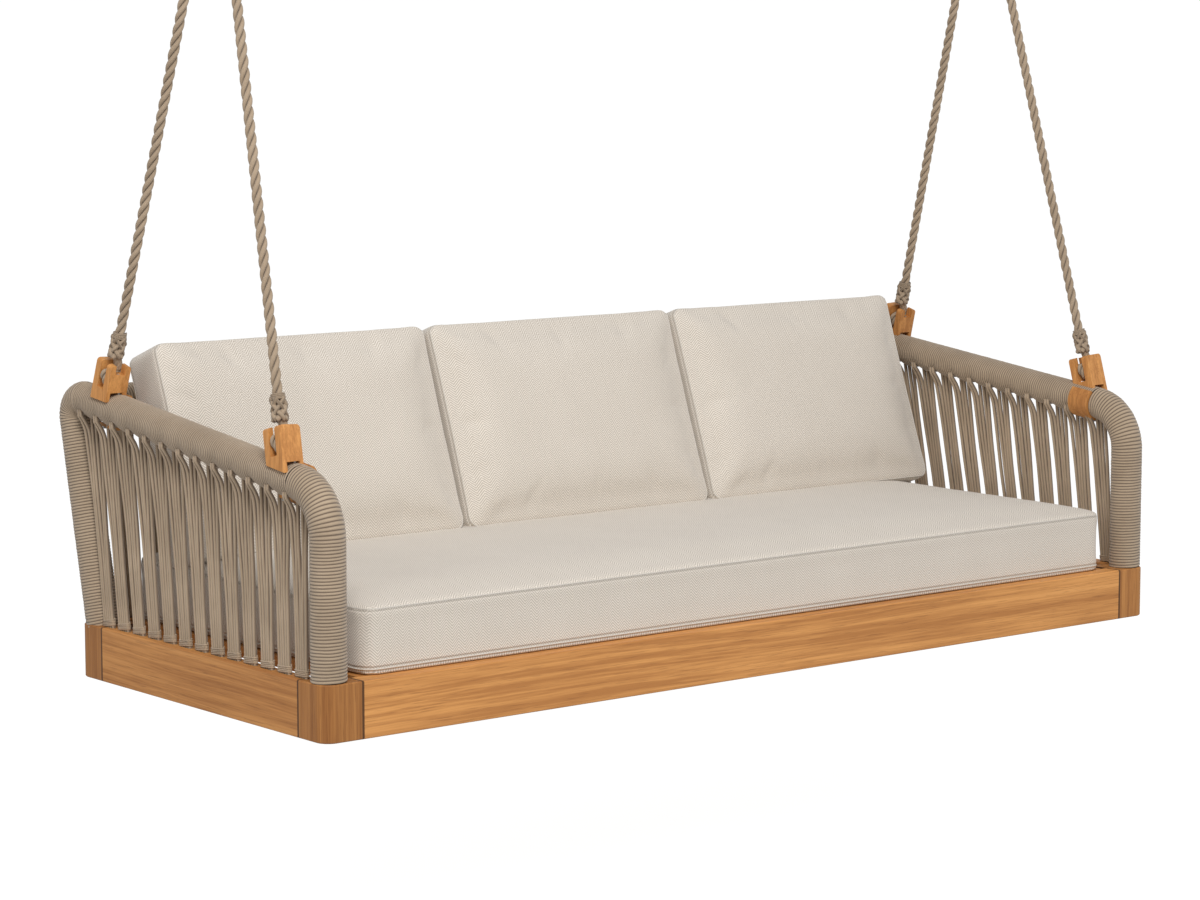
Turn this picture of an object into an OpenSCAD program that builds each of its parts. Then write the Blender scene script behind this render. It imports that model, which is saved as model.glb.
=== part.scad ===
// Hanging swing bed: a three-seat sofa on a wooden base, with rope-wrapped side frames,
// strand sides and back, loose cushions and two pairs of ropes that meet on ceiling swivels.
// Millimetres. X is the width, Y goes from front to back, Z is up. The origin is at the
// middle of the underside of the whole part.

/* [Base] */
// Width over the two side rails
overall_width = 2150; // [1700:10:2600]
// Depth from the front rail's face to the rear rail's face
base_depth = 850; // [780:5:950]
// Height of the base rails and corner blocks
base_height = 106; // [90:1:140]
// Side of the square corner blocks
block_side = 84; // [80:1:100]
// Radius of each block's outer upright edge
block_radius = 28; // [10:1:32]
// Thickness of the front rail
front_rail_thickness = 42; // [32:1:48]
// Thickness of the two side rails
side_rail_thickness = 36; // [30:1:44]
// Thickness of the rear rail
rear_rail_thickness = 34; // [30:1:40]
// Length of the tenons at the front and rear rails' ends
tenon_length = 18; // [10:1:18]
// Length of the tenons at the side rails' ends
side_tenon_length = 10; // [8:1:10]
// Thickness of the tenons
tenon_thickness = 14; // [10:1:16]
// Chamfer along the rails' and blocks' edges
edge_chamfer = 2; // [1:0.5:3]

/* [Seat deck] */
// Number of slats
slat_count = 14; // [10:1:16]
// Space between the end slats and the corner blocks' inner faces
slat_end_space = 14; // [5:1:40]
// Width of a slat
slat_width = 70; // [50:1:90]
// Thickness of a slat
slat_thickness = 20; // [16:1:24]
// Thickness of the two ledger strips
ledger_thickness = 25; // [18:1:30]
// Height of the two ledger strips
ledger_height = 34; // [25:1:40]

/* [Side frames] */
// Outside diameter of the metal tube
tube_diameter = 50; // [45:1:50]
// Wall of the metal tube
tube_wall = 2.5; // [1.5:0.5:4]
// Thickness of the cord wound round the tube
wrap_thickness = 8; // [6:0.5:8]
// Height of the arm's axis above the underside, over the front leg
arm_front_height = 445; // [400:1:500]
// Rise of the arm towards the back, in degrees
arm_slope = 6.8; // [3:0.1:10]
// Lean of the back leg, in degrees
back_lean = 12.4; // [6:0.2:12.4]
// Distance from the rear rail's face to the back leg's axis at the base's top
back_leg_inset = 35; // [33:1:36]
// Middle radius of the bend over the front leg
front_bend_radius = 95; // [60:1:110]
// Middle radius of the bend over the back leg
back_bend_radius = 36; // [35:1:60]
// Depth that each leg's tube goes into its corner block
leg_socket_depth = 58; // [45:1:60]

/* [Strands] */
// Number of strand bands in each side
side_bands = 13; // [8:1:14]
// Number of strand bands in the back
back_bands = 33; // [20:1:34]
// Width of a band
band_width = 38; // [25:1:42]
// Thickness of a band
band_thickness = 9; // [6:0.5:10]
// Depth of the pocket that each band's foot stands in
pocket_depth = 12; // [8:1:20]
// Foot of the first side band behind the front leg's axis
first_foot = 63; // [56:1:90]
// Foot of the last side band before the back leg's axis at the base's top
last_foot = 51; // [50:1:80]
// How far the first side band's head reaches past the start of the front bend
first_head_reach = 15; // [0:1:16]
// Space along the arm between the last side band's head and the back bend
last_head_space = 2; // [1:1:20]
// Distance from the back leg's axis to the last back band's middle
last_back_band = 82; // [70:1:100]

/* [Cushions] */
// Space between the seat cushion and each wrapped front leg
seat_side_space = 33; // [10:1:60]
// Distance from the front rail's face to the seat cushion's front
seat_setback = 20; // [10:1:40]
// Space between the seat cushion and the back strands
seat_rear_space = 6; // [2:1:20]
// Height of the seat cushion's top seam above the base's top
seat_side_height = 125; // [100:1:150]
// Height of the seat cushion's crown above the base's top
seat_crown_height = 146; // [120:1:170]
// Space between the outer back cushions and the wrapped arms
back_cushion_end_space = 26.5; // [10:0.5:60]
// Height of a back cushion along its lean
back_cushion_height = 446; // [380:1:480]
// Thickness of a back cushion at its side seams
back_cushion_side = 114; // [90:1:130]
// Lean of the back cushions, in degrees
back_cushion_lean = 19.8; // [15:0.1:24]
// Fullness of a back cushion's front face
back_cushion_front_crown = 30; // [10:1:40]
// Space between the back cushions and the wrapped back rail
back_cushion_space = 2; // [1:0.5:10]

/* [Hangers] */
// Straight arm between the front bend and the front hanger's middle
front_hanger_run = 27.5; // [27.5:0.5:60]
// Straight arm between the back hanger's middle and the back bend
back_hanger_run = 93; // [40:1:150]
// Distance that the hangers sit outwards from the arm's axis
hanger_offset = 8; // [0:1:10]
// Height of the rope pin above the arm's axis, along the rope
pin_rise = 70; // [66:1:76]
// Width of a hanger's cheeks
cheek_width = 44; // [38:1:50]
// Thickness of a cheek
cheek_thickness = 17; // [14:1:20]
// Height of the cheeks above the rope pin
cheek_rise = 27; // [24:1:34]
// Gap between the cheeks
cheek_gap = 21; // [20.5:0.5:24]
// Width of the open slot in the inner cheek
slot_width = 22; // [18:1:26]
// Thickness of the half collar on the arm's inner side
collar_thickness = 6; // [4:1:8]
// Diameter of the steel pins that carry the rope eyes
rope_pin_diameter = 12; // [8:1:12]

/* [Ropes] */
// Diameter of the rope
rope_diameter = 20; // [16:1:20]
// Diameter of the rope where it makes an eye
eye_rope_diameter = 17; // [14:1:17]
// Distance from the pin to the eye's throat
eye_throat = 46; // [42:1:60]
// Distance from the pin to the end of the bound splice
splice_end = 84; // [78:1:110]
// Diameter of the splice
splice_diameter = 28; // [24:1:32]
// Height of the upper rope pins above the underside
rope_top_height = 1590; // [1300:5:2200]
// How far each hanging point lies inwards of its hangers
rope_inset = 59; // [0:1:150]
// Distance from the base's middle back to the hanging line
hang_setback = 20; // [0:1:80]

/* [Ceiling swivels] */
// Height of the swing pin above the upper rope pin
swing_rise = 65; // [60:1:90]
// Diameter of the swing pin
swing_pin_diameter = 14; // [12:1:18]
// Length of the swivel's boss on the swing pin
boss_length = 26; // [20:1:40]
// Sideways play between the boss and each ear
boss_play = 0.75; // [0.5:0.05:2]
// Thickness of the ears, plates and forks
plate_thickness = 8; // [6:1:12]
// Length of the ceiling plate
plate_length = 130; // [110:1:160]
// Width of the ceiling plate
plate_width = 84; // [76:1:110]
// Distance between the bolt holes along the plate
bolt_spacing_x = 100; // [90:1:120]
// Distance between the bolt holes across the plate
bolt_spacing_y = 54; // [50:1:80]
// Diameter of the ceiling bolt holes
bolt_hole_diameter = 11; // [8:0.5:13]

/* [Fits] */
// Clearance round tenons and other wood joints
wood_clearance = 0.2; // [0.1:0.05:0.4]
// Clearance round the strand feet in their pockets
pocket_clearance = 0.4; // [0.2:0.1:0.8]
// Radial clearance of the swivel on its swing pin
running_clearance = 0.1; // [0.05:0.05:0.1]
// Radial clearance of a rope eye round its pin
eye_clearance = 0.6; // [0.5:0.1:1.5]

/* [View] */
// Which piece is drawn

/* [Hidden] */
$fn = 48;
wood = [0.78, 0.55, 0.32];
cord = [0.72, 0.66, 0.57];
cloth = [0.89, 0.86, 0.81];
steel = [0.62, 0.62, 0.60];
dark = [0.16, 0.15, 0.14];

tube_r = tube_diameter / 2;
wrap_r = tube_r + wrap_thickness;
half_w = overall_width / 2;
half_d = base_depth / 2;
leg_x = half_w - wrap_r;
leg_y = -half_d + wrap_r;
foot_y = half_d - back_leg_inset;

// Side frame's axis in the Y-Z plane, as [y, z], before the shift to the part's middle
arm_dir = [cos(arm_slope), sin(arm_slope)];
leg_dir = [sin(back_lean), cos(back_lean)];
front_corner = [leg_y, arm_front_height];
back_corner_y = (foot_y + (arm_front_height - leg_y * tan(arm_slope) - base_height) * tan(back_lean))
    / (1 - tan(arm_slope) * tan(back_lean));
function arm_at(y) = [y, arm_front_height + (y - leg_y) * tan(arm_slope)];
back_corner = arm_at(back_corner_y);
front_turn = 90 - arm_slope;
back_turn = 90 + arm_slope + back_lean;
front_tangent = front_bend_radius * tan(front_turn / 2);
back_tangent = back_bend_radius * tan(back_turn / 2);
arm_start = front_corner + front_tangent * arm_dir;
arm_end = back_corner - back_tangent * arm_dir;
arm_length = norm(arm_end - arm_start);
leg_top_z = arm_front_height - front_tangent;
back_leg_top = back_corner - back_tangent * leg_dir;
back_leg_foot = [foot_y, base_height];
back_bend_centre = arm_end + back_bend_radius * [arm_dir[1], -arm_dir[0]];
back_rail_angle = 90 + arm_slope - back_turn / 2;
back_rail_axis = back_bend_centre + back_bend_radius * [cos(back_rail_angle), sin(back_rail_angle)];

// The part's middle lies halfway from the front rail's face to the back bends' rear
rear_y = back_bend_centre[0] + back_bend_radius + wrap_r;
mid_y = (rear_y - half_d) / 2;

// Rope pins: each rope's line runs from the arm's axis to its eye on the swivel
hanger_x = leg_x + hanger_offset;
hang_reach = hanger_x - rope_inset;
front_root = arm_start + front_hanger_run * arm_dir;
back_root = arm_end - back_hanger_run * arm_dir;
// Largest angle between a rope's line and the square to its pin
eye_tilt_limit = 22;
eye_radius = (eye_rope_diameter / 2 + rope_pin_diameter / 2 + eye_clearance) / cos(eye_tilt_limit);
eye_outer = eye_radius + eye_rope_diameter / 2;
hang_point = [hang_setback, rope_top_height];
front_eye_offset = 15.5;
back_eye_offset = 12.5;
function unit(v) = v / norm(v);
function eye_place(offset, dir) = hang_point + offset * dir;
function pin_place(root, offset, dir) = root + pin_rise * unit(eye_place(offset, dir) - root);
function pin_line(dir) =
    unit(pin_place(back_root, back_eye_offset, dir) - pin_place(front_root, -front_eye_offset, dir));
pin_dir = pin_line(pin_line(arm_dir));
pin_tilt = atan2(pin_dir[1], pin_dir[0]);
front_eye = eye_place(-front_eye_offset, pin_dir);
back_eye = eye_place(back_eye_offset, pin_dir);
front_pin = pin_place(front_root, -front_eye_offset, pin_dir);
back_pin = pin_place(back_root, back_eye_offset, pin_dir);
rope_inward = asin((hanger_x - hang_reach)
    / norm([hanger_x - hang_reach, front_eye[0] - front_pin[0], front_eye[1] - front_pin[1]]));
front_rope_lean = atan2(front_eye[0] - front_pin[0], front_eye[1] - front_pin[1]);
back_rope_lean = atan2(back_eye[0] - back_pin[0], back_eye[1] - back_pin[1]);
swing_z = rope_top_height + swing_rise;
ear_radius = swing_pin_diameter / 2 + 11;
ceiling_gap = ear_radius + 4;

// Base-centred pieces go to the part's middle; the left side is the right one's mirror image
module placed() translate([0, -mid_y, 0]) children();
module left_side() mirror([1, 0, 0]) children();
// Draws local X, Y, Z along the part's Y, Z, X
module side_plane() rotate([90, 0, 90]) children();

module bar(a, b, r) {
    v = b - a;
    translate(a)
        rotate([0, acos(v[2] / norm(v)), atan2(v[1], v[0])])
            cylinder(h = norm(v), r = r);
}

// ---- Wooden base -----------------------------------------------------------------------

// A board along X with chamfered long edges, its outer face at y = 0 and its body behind it
module board(length, thickness, height) {
    c = edge_chamfer;
    translate([-length / 2, 0, 0])
        side_plane()
            linear_extrude(height = length)
                polygon([[c, 0], [thickness - c, 0], [thickness, c], [thickness, height - c],
                         [thickness - c, height], [c, height], [0, height - c], [0, c]]);
}

module tenon(length, extra) {
    height = base_height - 40;
    translate([-extra, -tenon_thickness / 2 - extra, (base_height - height) / 2 - extra])
        cube([length + 2 * extra, tenon_thickness + 2 * extra, height + 2 * extra]);
}

module rail_with_tenons(length, thickness, tenon_reach) {
    board(length, thickness, base_height);
    for (side = [0, 1])
        mirror([side, 0, 0])
            translate([length / 2, thickness / 2, 0])
                tenon(tenon_reach, 0);
}

cross_length = overall_width - 2 * block_side;
side_length = base_depth - 2 * block_side;

module front_rail() color(wood) placed() translate([0, -half_d, 0])
    rail_with_tenons(cross_length, front_rail_thickness, tenon_length);

module rear_rail() color(wood) placed()
    difference() {
        translate([0, half_d, 0])
            mirror([0, 1, 0])
                rail_with_tenons(cross_length, rear_rail_thickness, tenon_length);
        back_band_row(pocket_clearance);
    }

module right_rail_shape()
    difference() {
        translate([half_w, 0, 0])
            rotate([0, 0, 90])
                rail_with_tenons(side_length, side_rail_thickness, side_tenon_length);
        side_band_row(pocket_clearance);
    }

module right_side_rail() color(wood) placed() right_rail_shape();
module left_side_rail() color(wood) left_side() placed() right_rail_shape();

// A block whose outer corner is at +X and +Y, with its two inner faces on the axes
module block_outline() {
    s = block_side;
    r = block_radius;
    polygon([[0, 0], [s, 0], [s, s - r], [s - r, s - r], [s - r, s], [0, s]]);
    translate([s - r, s - r])
        circle(r = r);
}

// What the chamfer takes off along a block's outer edge at the top
module rim_cut() {
    s = block_side;
    r = block_radius;
    c = edge_chamfer;
    module corner() polygon([[-c, 0.1], [0.1, 0.1], [0.1, -c - 0.1], [0, -c - 0.1], [-c - 0.1, 0]]);
    translate([s, s - r + 0.05, 0])
        rotate([90, 0, 0])
            linear_extrude(height = s - r + 1)
                corner();
    translate([-1, s, 0])
        rotate([90, 0, 90])
            linear_extrude(height = s - r + 1.05)
                corner();
    translate([s - r, s - r, 0])
        rotate_extrude(angle = 90)
            translate([r, 0])
                corner();
}

module block_body()
    difference() {
        linear_extrude(height = base_height)
            block_outline();
        translate([0, 0, base_height])
            rim_cut();
        mirror([0, 0, 1])
            rim_cut();
    }

module mortise_pair(long_thickness, side_thickness) {
    s = block_side;
    e = wood_clearance;
    translate([0, s - long_thickness / 2, 0])
        tenon(tenon_length, e);
    translate([s - side_thickness / 2, 0, 0])
        rotate([0, 0, 90])
            tenon(side_tenon_length, e);
}

// Both legs' tubes stand in a bore of the same radius
module leg_socket(foot, lean) {
    translate([leg_x, foot[0], foot[1]])
        rotate([-lean, 0, 0])
            translate([0, 0, -leg_socket_depth])
                cylinder(h = leg_socket_depth + 40, r = tube_r + wood_clearance);
}

module front_block_shape()
    difference() {
        translate([half_w - block_side, -half_d + block_side, 0])
            mirror([0, 1, 0])
                difference() {
                    block_body();
                    mortise_pair(front_rail_thickness, side_rail_thickness);
                }
        leg_socket([leg_y, base_height], 0);
        side_band_row(pocket_clearance);
    }

module rear_block_shape()
    difference() {
        translate([half_w - block_side, half_d - block_side, 0])
            difference() {
                block_body();
                mortise_pair(rear_rail_thickness, side_rail_thickness);
            }
        leg_socket(back_leg_foot, back_lean);
        side_band_row(pocket_clearance);
    }

module front_right_block() color(wood) placed() front_block_shape();
module front_left_block() color(wood) left_side() placed() front_block_shape();
module rear_right_block() color(wood) placed() rear_block_shape();
module rear_left_block() color(wood) left_side() placed() rear_block_shape();

// ---- Seat deck -------------------------------------------------------------------------

slat_top = base_height;
ledger_top = slat_top - slat_thickness;
slat_front = -half_d + front_rail_thickness + 1;
slat_rear = half_d - rear_rail_thickness - 1;
ledger_length = cross_length - 10;
slat_pitch = (cross_length - 2 * slat_end_space - slat_width) / (slat_count - 1);

module ledger(y)
    translate([-ledger_length / 2, y, ledger_top - ledger_height])
        cube([ledger_length, ledger_thickness, ledger_height]);

module front_ledger() color(wood) placed() ledger(-half_d + front_rail_thickness);
module rear_ledger() color(wood) placed()
    ledger(half_d - rear_rail_thickness - ledger_thickness);

module seat_slats() color(wood) placed()
    for (i = [0 : slat_count - 1])
        translate([(i - (slat_count - 1) / 2) * slat_pitch - slat_width / 2, slat_front, ledger_top])
            cube([slat_width, slat_rear - slat_front, slat_thickness]);

// ---- Side frames: metal tube inside, cord wrap outside -----------------------------------

// A bend round the origin, starting on the X axis
module bend(radius, turn, r)
    rotate_extrude(angle = turn)
        translate([radius, 0])
            circle(r = r);

// Solid run of the front leg and its bend, at radius r, from height z0 upwards
module front_leg_run(r, z0)
    translate([leg_x, 0, 0])
        side_plane()
            translate([leg_y, leg_top_z, 0]) {
                rotate([90, 0, 0])
                    cylinder(h = leg_top_z - z0, r = r);
                translate([front_bend_radius, 0, 0])
                    mirror([1, 0, 0])
                        bend(front_bend_radius, front_turn, r);
            }

module arm_run(r, more = 0) {
    a = arm_start - more * arm_dir;
    b = arm_end + more * arm_dir;
    bar([leg_x, a[0], a[1]], [leg_x, b[0], b[1]], r);
}

// Solid run of the back leg and its bend; the leg starts a distance along its axis from the foot
module back_leg_run(r, start)
    translate([leg_x, 0, 0])
        side_plane()
            translate([back_leg_top[0], back_leg_top[1], 0])
                rotate([0, 0, -back_lean]) {
                    rotate([90, 0, 0])
                        cylinder(h = norm(back_leg_top - back_leg_foot) - start, r = r);
                    translate([-back_bend_radius, 0, 0])
                        bend(back_bend_radius, back_turn, r);
                }

module back_rail_run(r, reach)
    translate([-reach, back_rail_axis[0], back_rail_axis[1]])
        rotate([0, 90, 0])
            cylinder(h = 2 * reach, r = r);

bore_r = tube_r - tube_wall;
// Space under the leaning tube in its socket
back_socket_gap = 6;

module all_screw_shanks() {
    screw_shanks(front_root, front_rope_lean);
    screw_shanks(back_root, back_rope_lean);
}

module front_leg_tube_shape()
    difference() {
        front_leg_run(tube_r, base_height - leg_socket_depth);
        front_leg_run(bore_r, base_height - leg_socket_depth);
    }

module arm_tube_shape()
    difference() {
        arm_run(tube_r);
        arm_run(bore_r);
        all_screw_shanks();
    }

module back_leg_tube_shape()
    difference() {
        back_leg_run(tube_r, back_socket_gap - leg_socket_depth);
        back_leg_run(bore_r, back_socket_gap - leg_socket_depth);
    }

module front_leg_wrap_shape()
    difference() {
        front_leg_run(wrap_r, base_height);
        front_leg_run(tube_r, base_height);
    }

module arm_wrap_shape()
    difference() {
        arm_run(wrap_r);
        arm_run(tube_r);
        all_screw_shanks();
    }

// The leaning wrap starts this far down, and its foot is cut level with the block's top
wrap_overrun = wrap_r * tan(back_lean) + 2;

module back_leg_wrap_shape()
    difference() {
        back_leg_run(wrap_r, -wrap_overrun);
        back_leg_run(tube_r, -wrap_overrun - 1);
        back_rail_run(tube_r, leg_x);
        translate([half_w - 2 * block_side, half_d - 2 * block_side, 0])
            cube([3 * block_side, 3 * block_side, base_height]);
    }

module back_rail_tube() color(steel) placed()
    difference() {
        back_rail_run(tube_r, leg_x - tube_r + 4);
        back_rail_run(bore_r, leg_x);
        for (side = [0, 1])
            mirror([side, 0, 0])
                back_leg_run(tube_r, 0);
    }

module back_rail_wrap() color(cord) placed()
    difference() {
        back_rail_run(wrap_r, leg_x - wrap_r + 6);
        back_rail_run(tube_r, leg_x);
        for (side = [0, 1])
            mirror([side, 0, 0]) {
                back_leg_run(wrap_r, 0);
                arm_run(wrap_r + 0.1, 1);
            }
    }

module right_front_leg_tube() color(steel) placed() front_leg_tube_shape();
module left_front_leg_tube() color(steel) left_side() placed() front_leg_tube_shape();
module right_arm_tube() color(steel) placed() arm_tube_shape();
module left_arm_tube() color(steel) left_side() placed() arm_tube_shape();
module right_back_leg_tube() color(steel) placed() back_leg_tube_shape();
module left_back_leg_tube() color(steel) left_side() placed() back_leg_tube_shape();
module right_front_leg_wrap() color(cord) placed() front_leg_wrap_shape();
module left_front_leg_wrap() color(cord) left_side() placed() front_leg_wrap_shape();
module right_arm_wrap() color(cord) placed() arm_wrap_shape();
module left_arm_wrap() color(cord) left_side() placed() arm_wrap_shape();
module right_back_leg_wrap() color(cord) placed() back_leg_wrap_shape();
module left_back_leg_wrap() color(cord) left_side() placed() back_leg_wrap_shape();

// ---- Strand bands ------------------------------------------------------------------------

// A band's section: a flat bundle of cords with rounded edges, grown by e for its pocket
module band_section(w, t, e) {
    a = w / 2 + e;
    b = t / 2 + e;
    c = t / 3;
    polygon([[-b, -a + c], [-b + c, -a], [b - c, -a], [b, -a + c],
             [b, a - c], [b - c, a], [-b + c, a], [-b, a - c]]);
}

side_band_x = half_w - side_rail_thickness / 2;
function foot_of(i) =
    leg_y + first_foot + i * (foot_y - last_foot - leg_y - first_foot) / (side_bands - 1);
first_head = arm_start[0] + band_width / 2 - first_head_reach;
last_head = arm_end[0] - band_width / 2 - last_head_space;
function head_of(i) = first_head + i * (last_head - first_head) / (side_bands - 1);

// One leaning prism per band, from the pocket's floor into the arm
module side_band_row(e) {
    for (i = [0 : side_bands - 1]) {
        foot = [foot_of(i), base_height];
        head = arm_at(head_of(i));
        run = head - foot;
        lean = atan2(run[0], run[1]);
        translate([side_band_x, foot[0], foot[1]])
            rotate([-lean, 0, 0])
                translate([0, 0, -pocket_depth - e])
                    linear_extrude(height = norm(run) + pocket_depth + e)
                        band_section(band_width, band_thickness, e);
    }
}

back_pitch = 2 * (leg_x - last_back_band) / (back_bands - 1);
back_band_foot = [half_d - rear_rail_thickness / 2, base_height];
back_band_run = back_rail_axis - back_band_foot;
back_band_lean = atan2(back_band_run[0], back_band_run[1]);

module back_band_row(e) {
    for (i = [0 : back_bands - 1])
        translate([(i - (back_bands - 1) / 2) * back_pitch, back_band_foot[0], back_band_foot[1]])
            rotate([-back_band_lean, 0, 0])
                translate([0, 0, -pocket_depth - e])
                    rotate([0, 0, 90])
                        linear_extrude(height = norm(back_band_run) + pocket_depth + e)
                            band_section(band_width, band_thickness, e);
}

module side_strands_shape()
    difference() {
        side_band_row(0);
        arm_run(wrap_r, 1);
        front_leg_run(wrap_r + 0.05, arm_front_height - 2 * front_bend_radius);
    }

module right_side_strands() color(cord) placed() side_strands_shape();
module left_side_strands() color(cord) left_side() placed() side_strands_shape();

module back_strands() color(cord) placed()
    difference() {
        back_band_row(0);
        back_rail_run(wrap_r, leg_x);
    }

// ---- Cushions ----------------------------------------------------------------------------

seat_width = 2 * (leg_x - wrap_r - seat_side_space);
seat_front = -half_d + seat_setback;
seat_rear = half_d - rear_rail_thickness / 2 - band_thickness / 2 - seat_rear_space;
seat_top = base_height + seat_crown_height;
seat_seam = base_height + seat_side_height;
// Where the crown starts to fall towards the edges, and its drop there
seat_front_run = 190;
seat_side_run = 130;
seat_edge_run = 65;
seat_edge_drop = 7;

// Box cushion: its side and front outlines, crowned on top, cross to make the block
module seat_cushion() color(cloth) placed()
    intersection() {
        c = 12;
        translate([-seat_width / 2, 0, 0])
            side_plane()
                linear_extrude(height = seat_width)
                    polygon([[seat_front + c, base_height], [seat_rear - c, base_height],
                             [seat_rear, base_height + c], [seat_rear, seat_seam],
                             [seat_rear - seat_edge_run, seat_top], [seat_front + seat_front_run, seat_top],
                             [seat_front + seat_edge_run, seat_top - seat_edge_drop], [seat_front, seat_seam],
                             [seat_front, base_height + c]]);
        translate([0, seat_rear + 1, 0])
            rotate([90, 0, 0])
                linear_extrude(height = seat_rear - seat_front + 2)
                    polygon([[-seat_width / 2 + c, base_height], [seat_width / 2 - c, base_height],
                             [seat_width / 2, base_height + c], [seat_width / 2, seat_seam],
                             [seat_width / 2 - seat_edge_run, seat_top - seat_edge_drop],
                             [seat_width / 2 - seat_side_run, seat_top],
                             [-seat_width / 2 + seat_side_run, seat_top],
                             [-seat_width / 2 + seat_edge_run, seat_top - seat_edge_drop],
                             [-seat_width / 2, seat_seam], [-seat_width / 2, base_height + c]]);
        translate([0, 0, base_height - 1])
            linear_extrude(height = seat_crown_height + 2)
                for (sx = [-1, 1], sy = [0, 1]) {
                    r = 14;
                    square([seat_width, 2 * (seat_rear - r)], center = true);
                    translate([0, (seat_rear + seat_front) / 2])
                        square([seat_width - 2 * r, seat_rear - seat_front], center = true);
                    translate([sx * (seat_width / 2 - r), sy > 0 ? seat_rear - r : seat_front + r])
                        circle(r = r);
                }
    }

// Back cushion in its leaning frame: X across, Y through its thickness, Z up along the lean
back_cushion_width = 2 * (leg_x - wrap_r - back_cushion_end_space) / 3;
back_cushion_foot = [141, seat_top];
// Thickness that reaches from the front seam's plane to the wrapped back rail
lean_y = cos(back_cushion_lean);
lean_z = sin(back_cushion_lean);
rail_from_foot = back_rail_axis - back_cushion_foot;
back_reach = rail_from_foot[0] * lean_y - rail_from_foot[1] * lean_z - wrap_r - back_cushion_space;
rail_level = rail_from_foot[0] * lean_z + rail_from_foot[1] * lean_y;

module back_cushion_shape() {
    h = back_cushion_height;
    w = back_cushion_width / 2 - 0.5;
    side = back_cushion_side;
    crown = back_cushion_front_crown;
    slope = tan(back_cushion_lean);
    translate([0, back_cushion_foot[0], back_cushion_foot[1]])
        rotate([-back_cushion_lean, 0, 0])
            intersection() {
                translate([-w, 0, 0])
                    side_plane()
                        linear_extrude(height = 2 * w)
                            polygon([[0, 0], [-0.6 * crown, 0.1 * h], [-crown, 0.35 * h],
                                     [-crown, 0.61 * h], [-0.6 * crown, 0.84 * h], [0, 0.95 * h],
                                     [0.3 * side, 0.99 * h], [0.6 * side, h], [side, 0.98 * h],
                                     [0.8 * back_reach, rail_level + 60],
                                     [back_reach, rail_level + 12], [back_reach + 4, rail_level - 60],
                                     [back_reach, 0.45 * h], [0.92 * back_reach, 0.28 * h],
                                     [1.3 * side, 1.3 * side * slope]]);
                translate([0, 0, -10])
                    linear_extrude(height = h + 80)
                        polygon([[-w, 0], [-0.85 * w, -0.6 * crown], [-0.5 * w, -crown - 1],
                                 [0.5 * w, -crown - 1], [0.85 * w, -0.6 * crown], [w, 0],
                                 [w, side], [0.85 * w, 0.78 * back_reach],
                                 [0.5 * w, back_reach + 5], [-0.5 * w, back_reach + 5],
                                 [-0.85 * w, 0.78 * back_reach], [-w, side]]);
                translate([0, back_reach + 20, 0])
                    rotate([90, 0, 0])
                        linear_extrude(height = back_reach + crown + 40)
                            polygon([[-w + 6, 0], [w - 6, 0], [w, 20], [w, 0.88 * h],
                                     [w - 12, 0.95 * h], [w - 60, h + 2], [60 - w, h + 2],
                                     [12 - w, 0.95 * h], [-w, 0.88 * h], [-w, 20]]);
            }
}

module left_back_cushion() color(cloth) placed()
    translate([-back_cushion_width, 0, 0]) back_cushion_shape();
module middle_back_cushion() color(cloth) placed() back_cushion_shape();
module right_back_cushion() color(cloth) placed()
    translate([back_cushion_width, 0, 0]) back_cushion_shape();

// ---- Hangers: a wooden yoke on the arm, a half collar below it, its hidden pin and screws ----

// Local frame of a hanger: origin on its rope pin, Z along the rope, Y through the cheeks
module at_pin(pin, lean)
    translate([hanger_x, pin[0], pin[1]])
        rotate([-lean, 0, 0])
            rotate([0, -rope_inward, 0])
                children();

// Local frame on the arm's axis under a hanger: Y along the arm, Z square to it
module at_root(root)
    translate([leg_x, root[0], root[1]])
        rotate([arm_slope, 0, 0])
            children();

// Local frames of a hanger's two screws: each starts below the collar, its Z up through the arm
// into the middle of its cheek
module at_screws(root, lean)
    at_root(root)
        for (s = [-1, 1]) {
            entry = wrap_r + screw_into_cheek / 2;
            top = entry * tan(lean + arm_slope) + s * cheek_middle / cos(lean + arm_slope);
            translate([0, s * cheek_middle, -screw_below])
                rotate([-atan((top - s * cheek_middle) / (entry + screw_below)), 0, 0])
                    children();
        }

module cheek_outline(low) {
    r = 7;
    w = cheek_width;
    translate([-w / 2, low])
        square([w, cheek_rise - r - low]);
    translate([-w / 2 + r, 0])
        square([w - 2 * r, cheek_rise]);
    for (s = [-1, 1])
        translate([s * (w / 2 - r), cheek_rise - r])
            circle(r = r);
}

yoke_half = cheek_gap / 2 + cheek_thickness;
cheek_middle = (cheek_gap + cheek_thickness) / 2;
yoke_low = 20 - pin_rise;
// Longer than any cut across the arm
through = 6 * wrap_r;
web_top = -eye_outer - 1.6;
notch_height = 4.5;
notch_width = 28;

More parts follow.
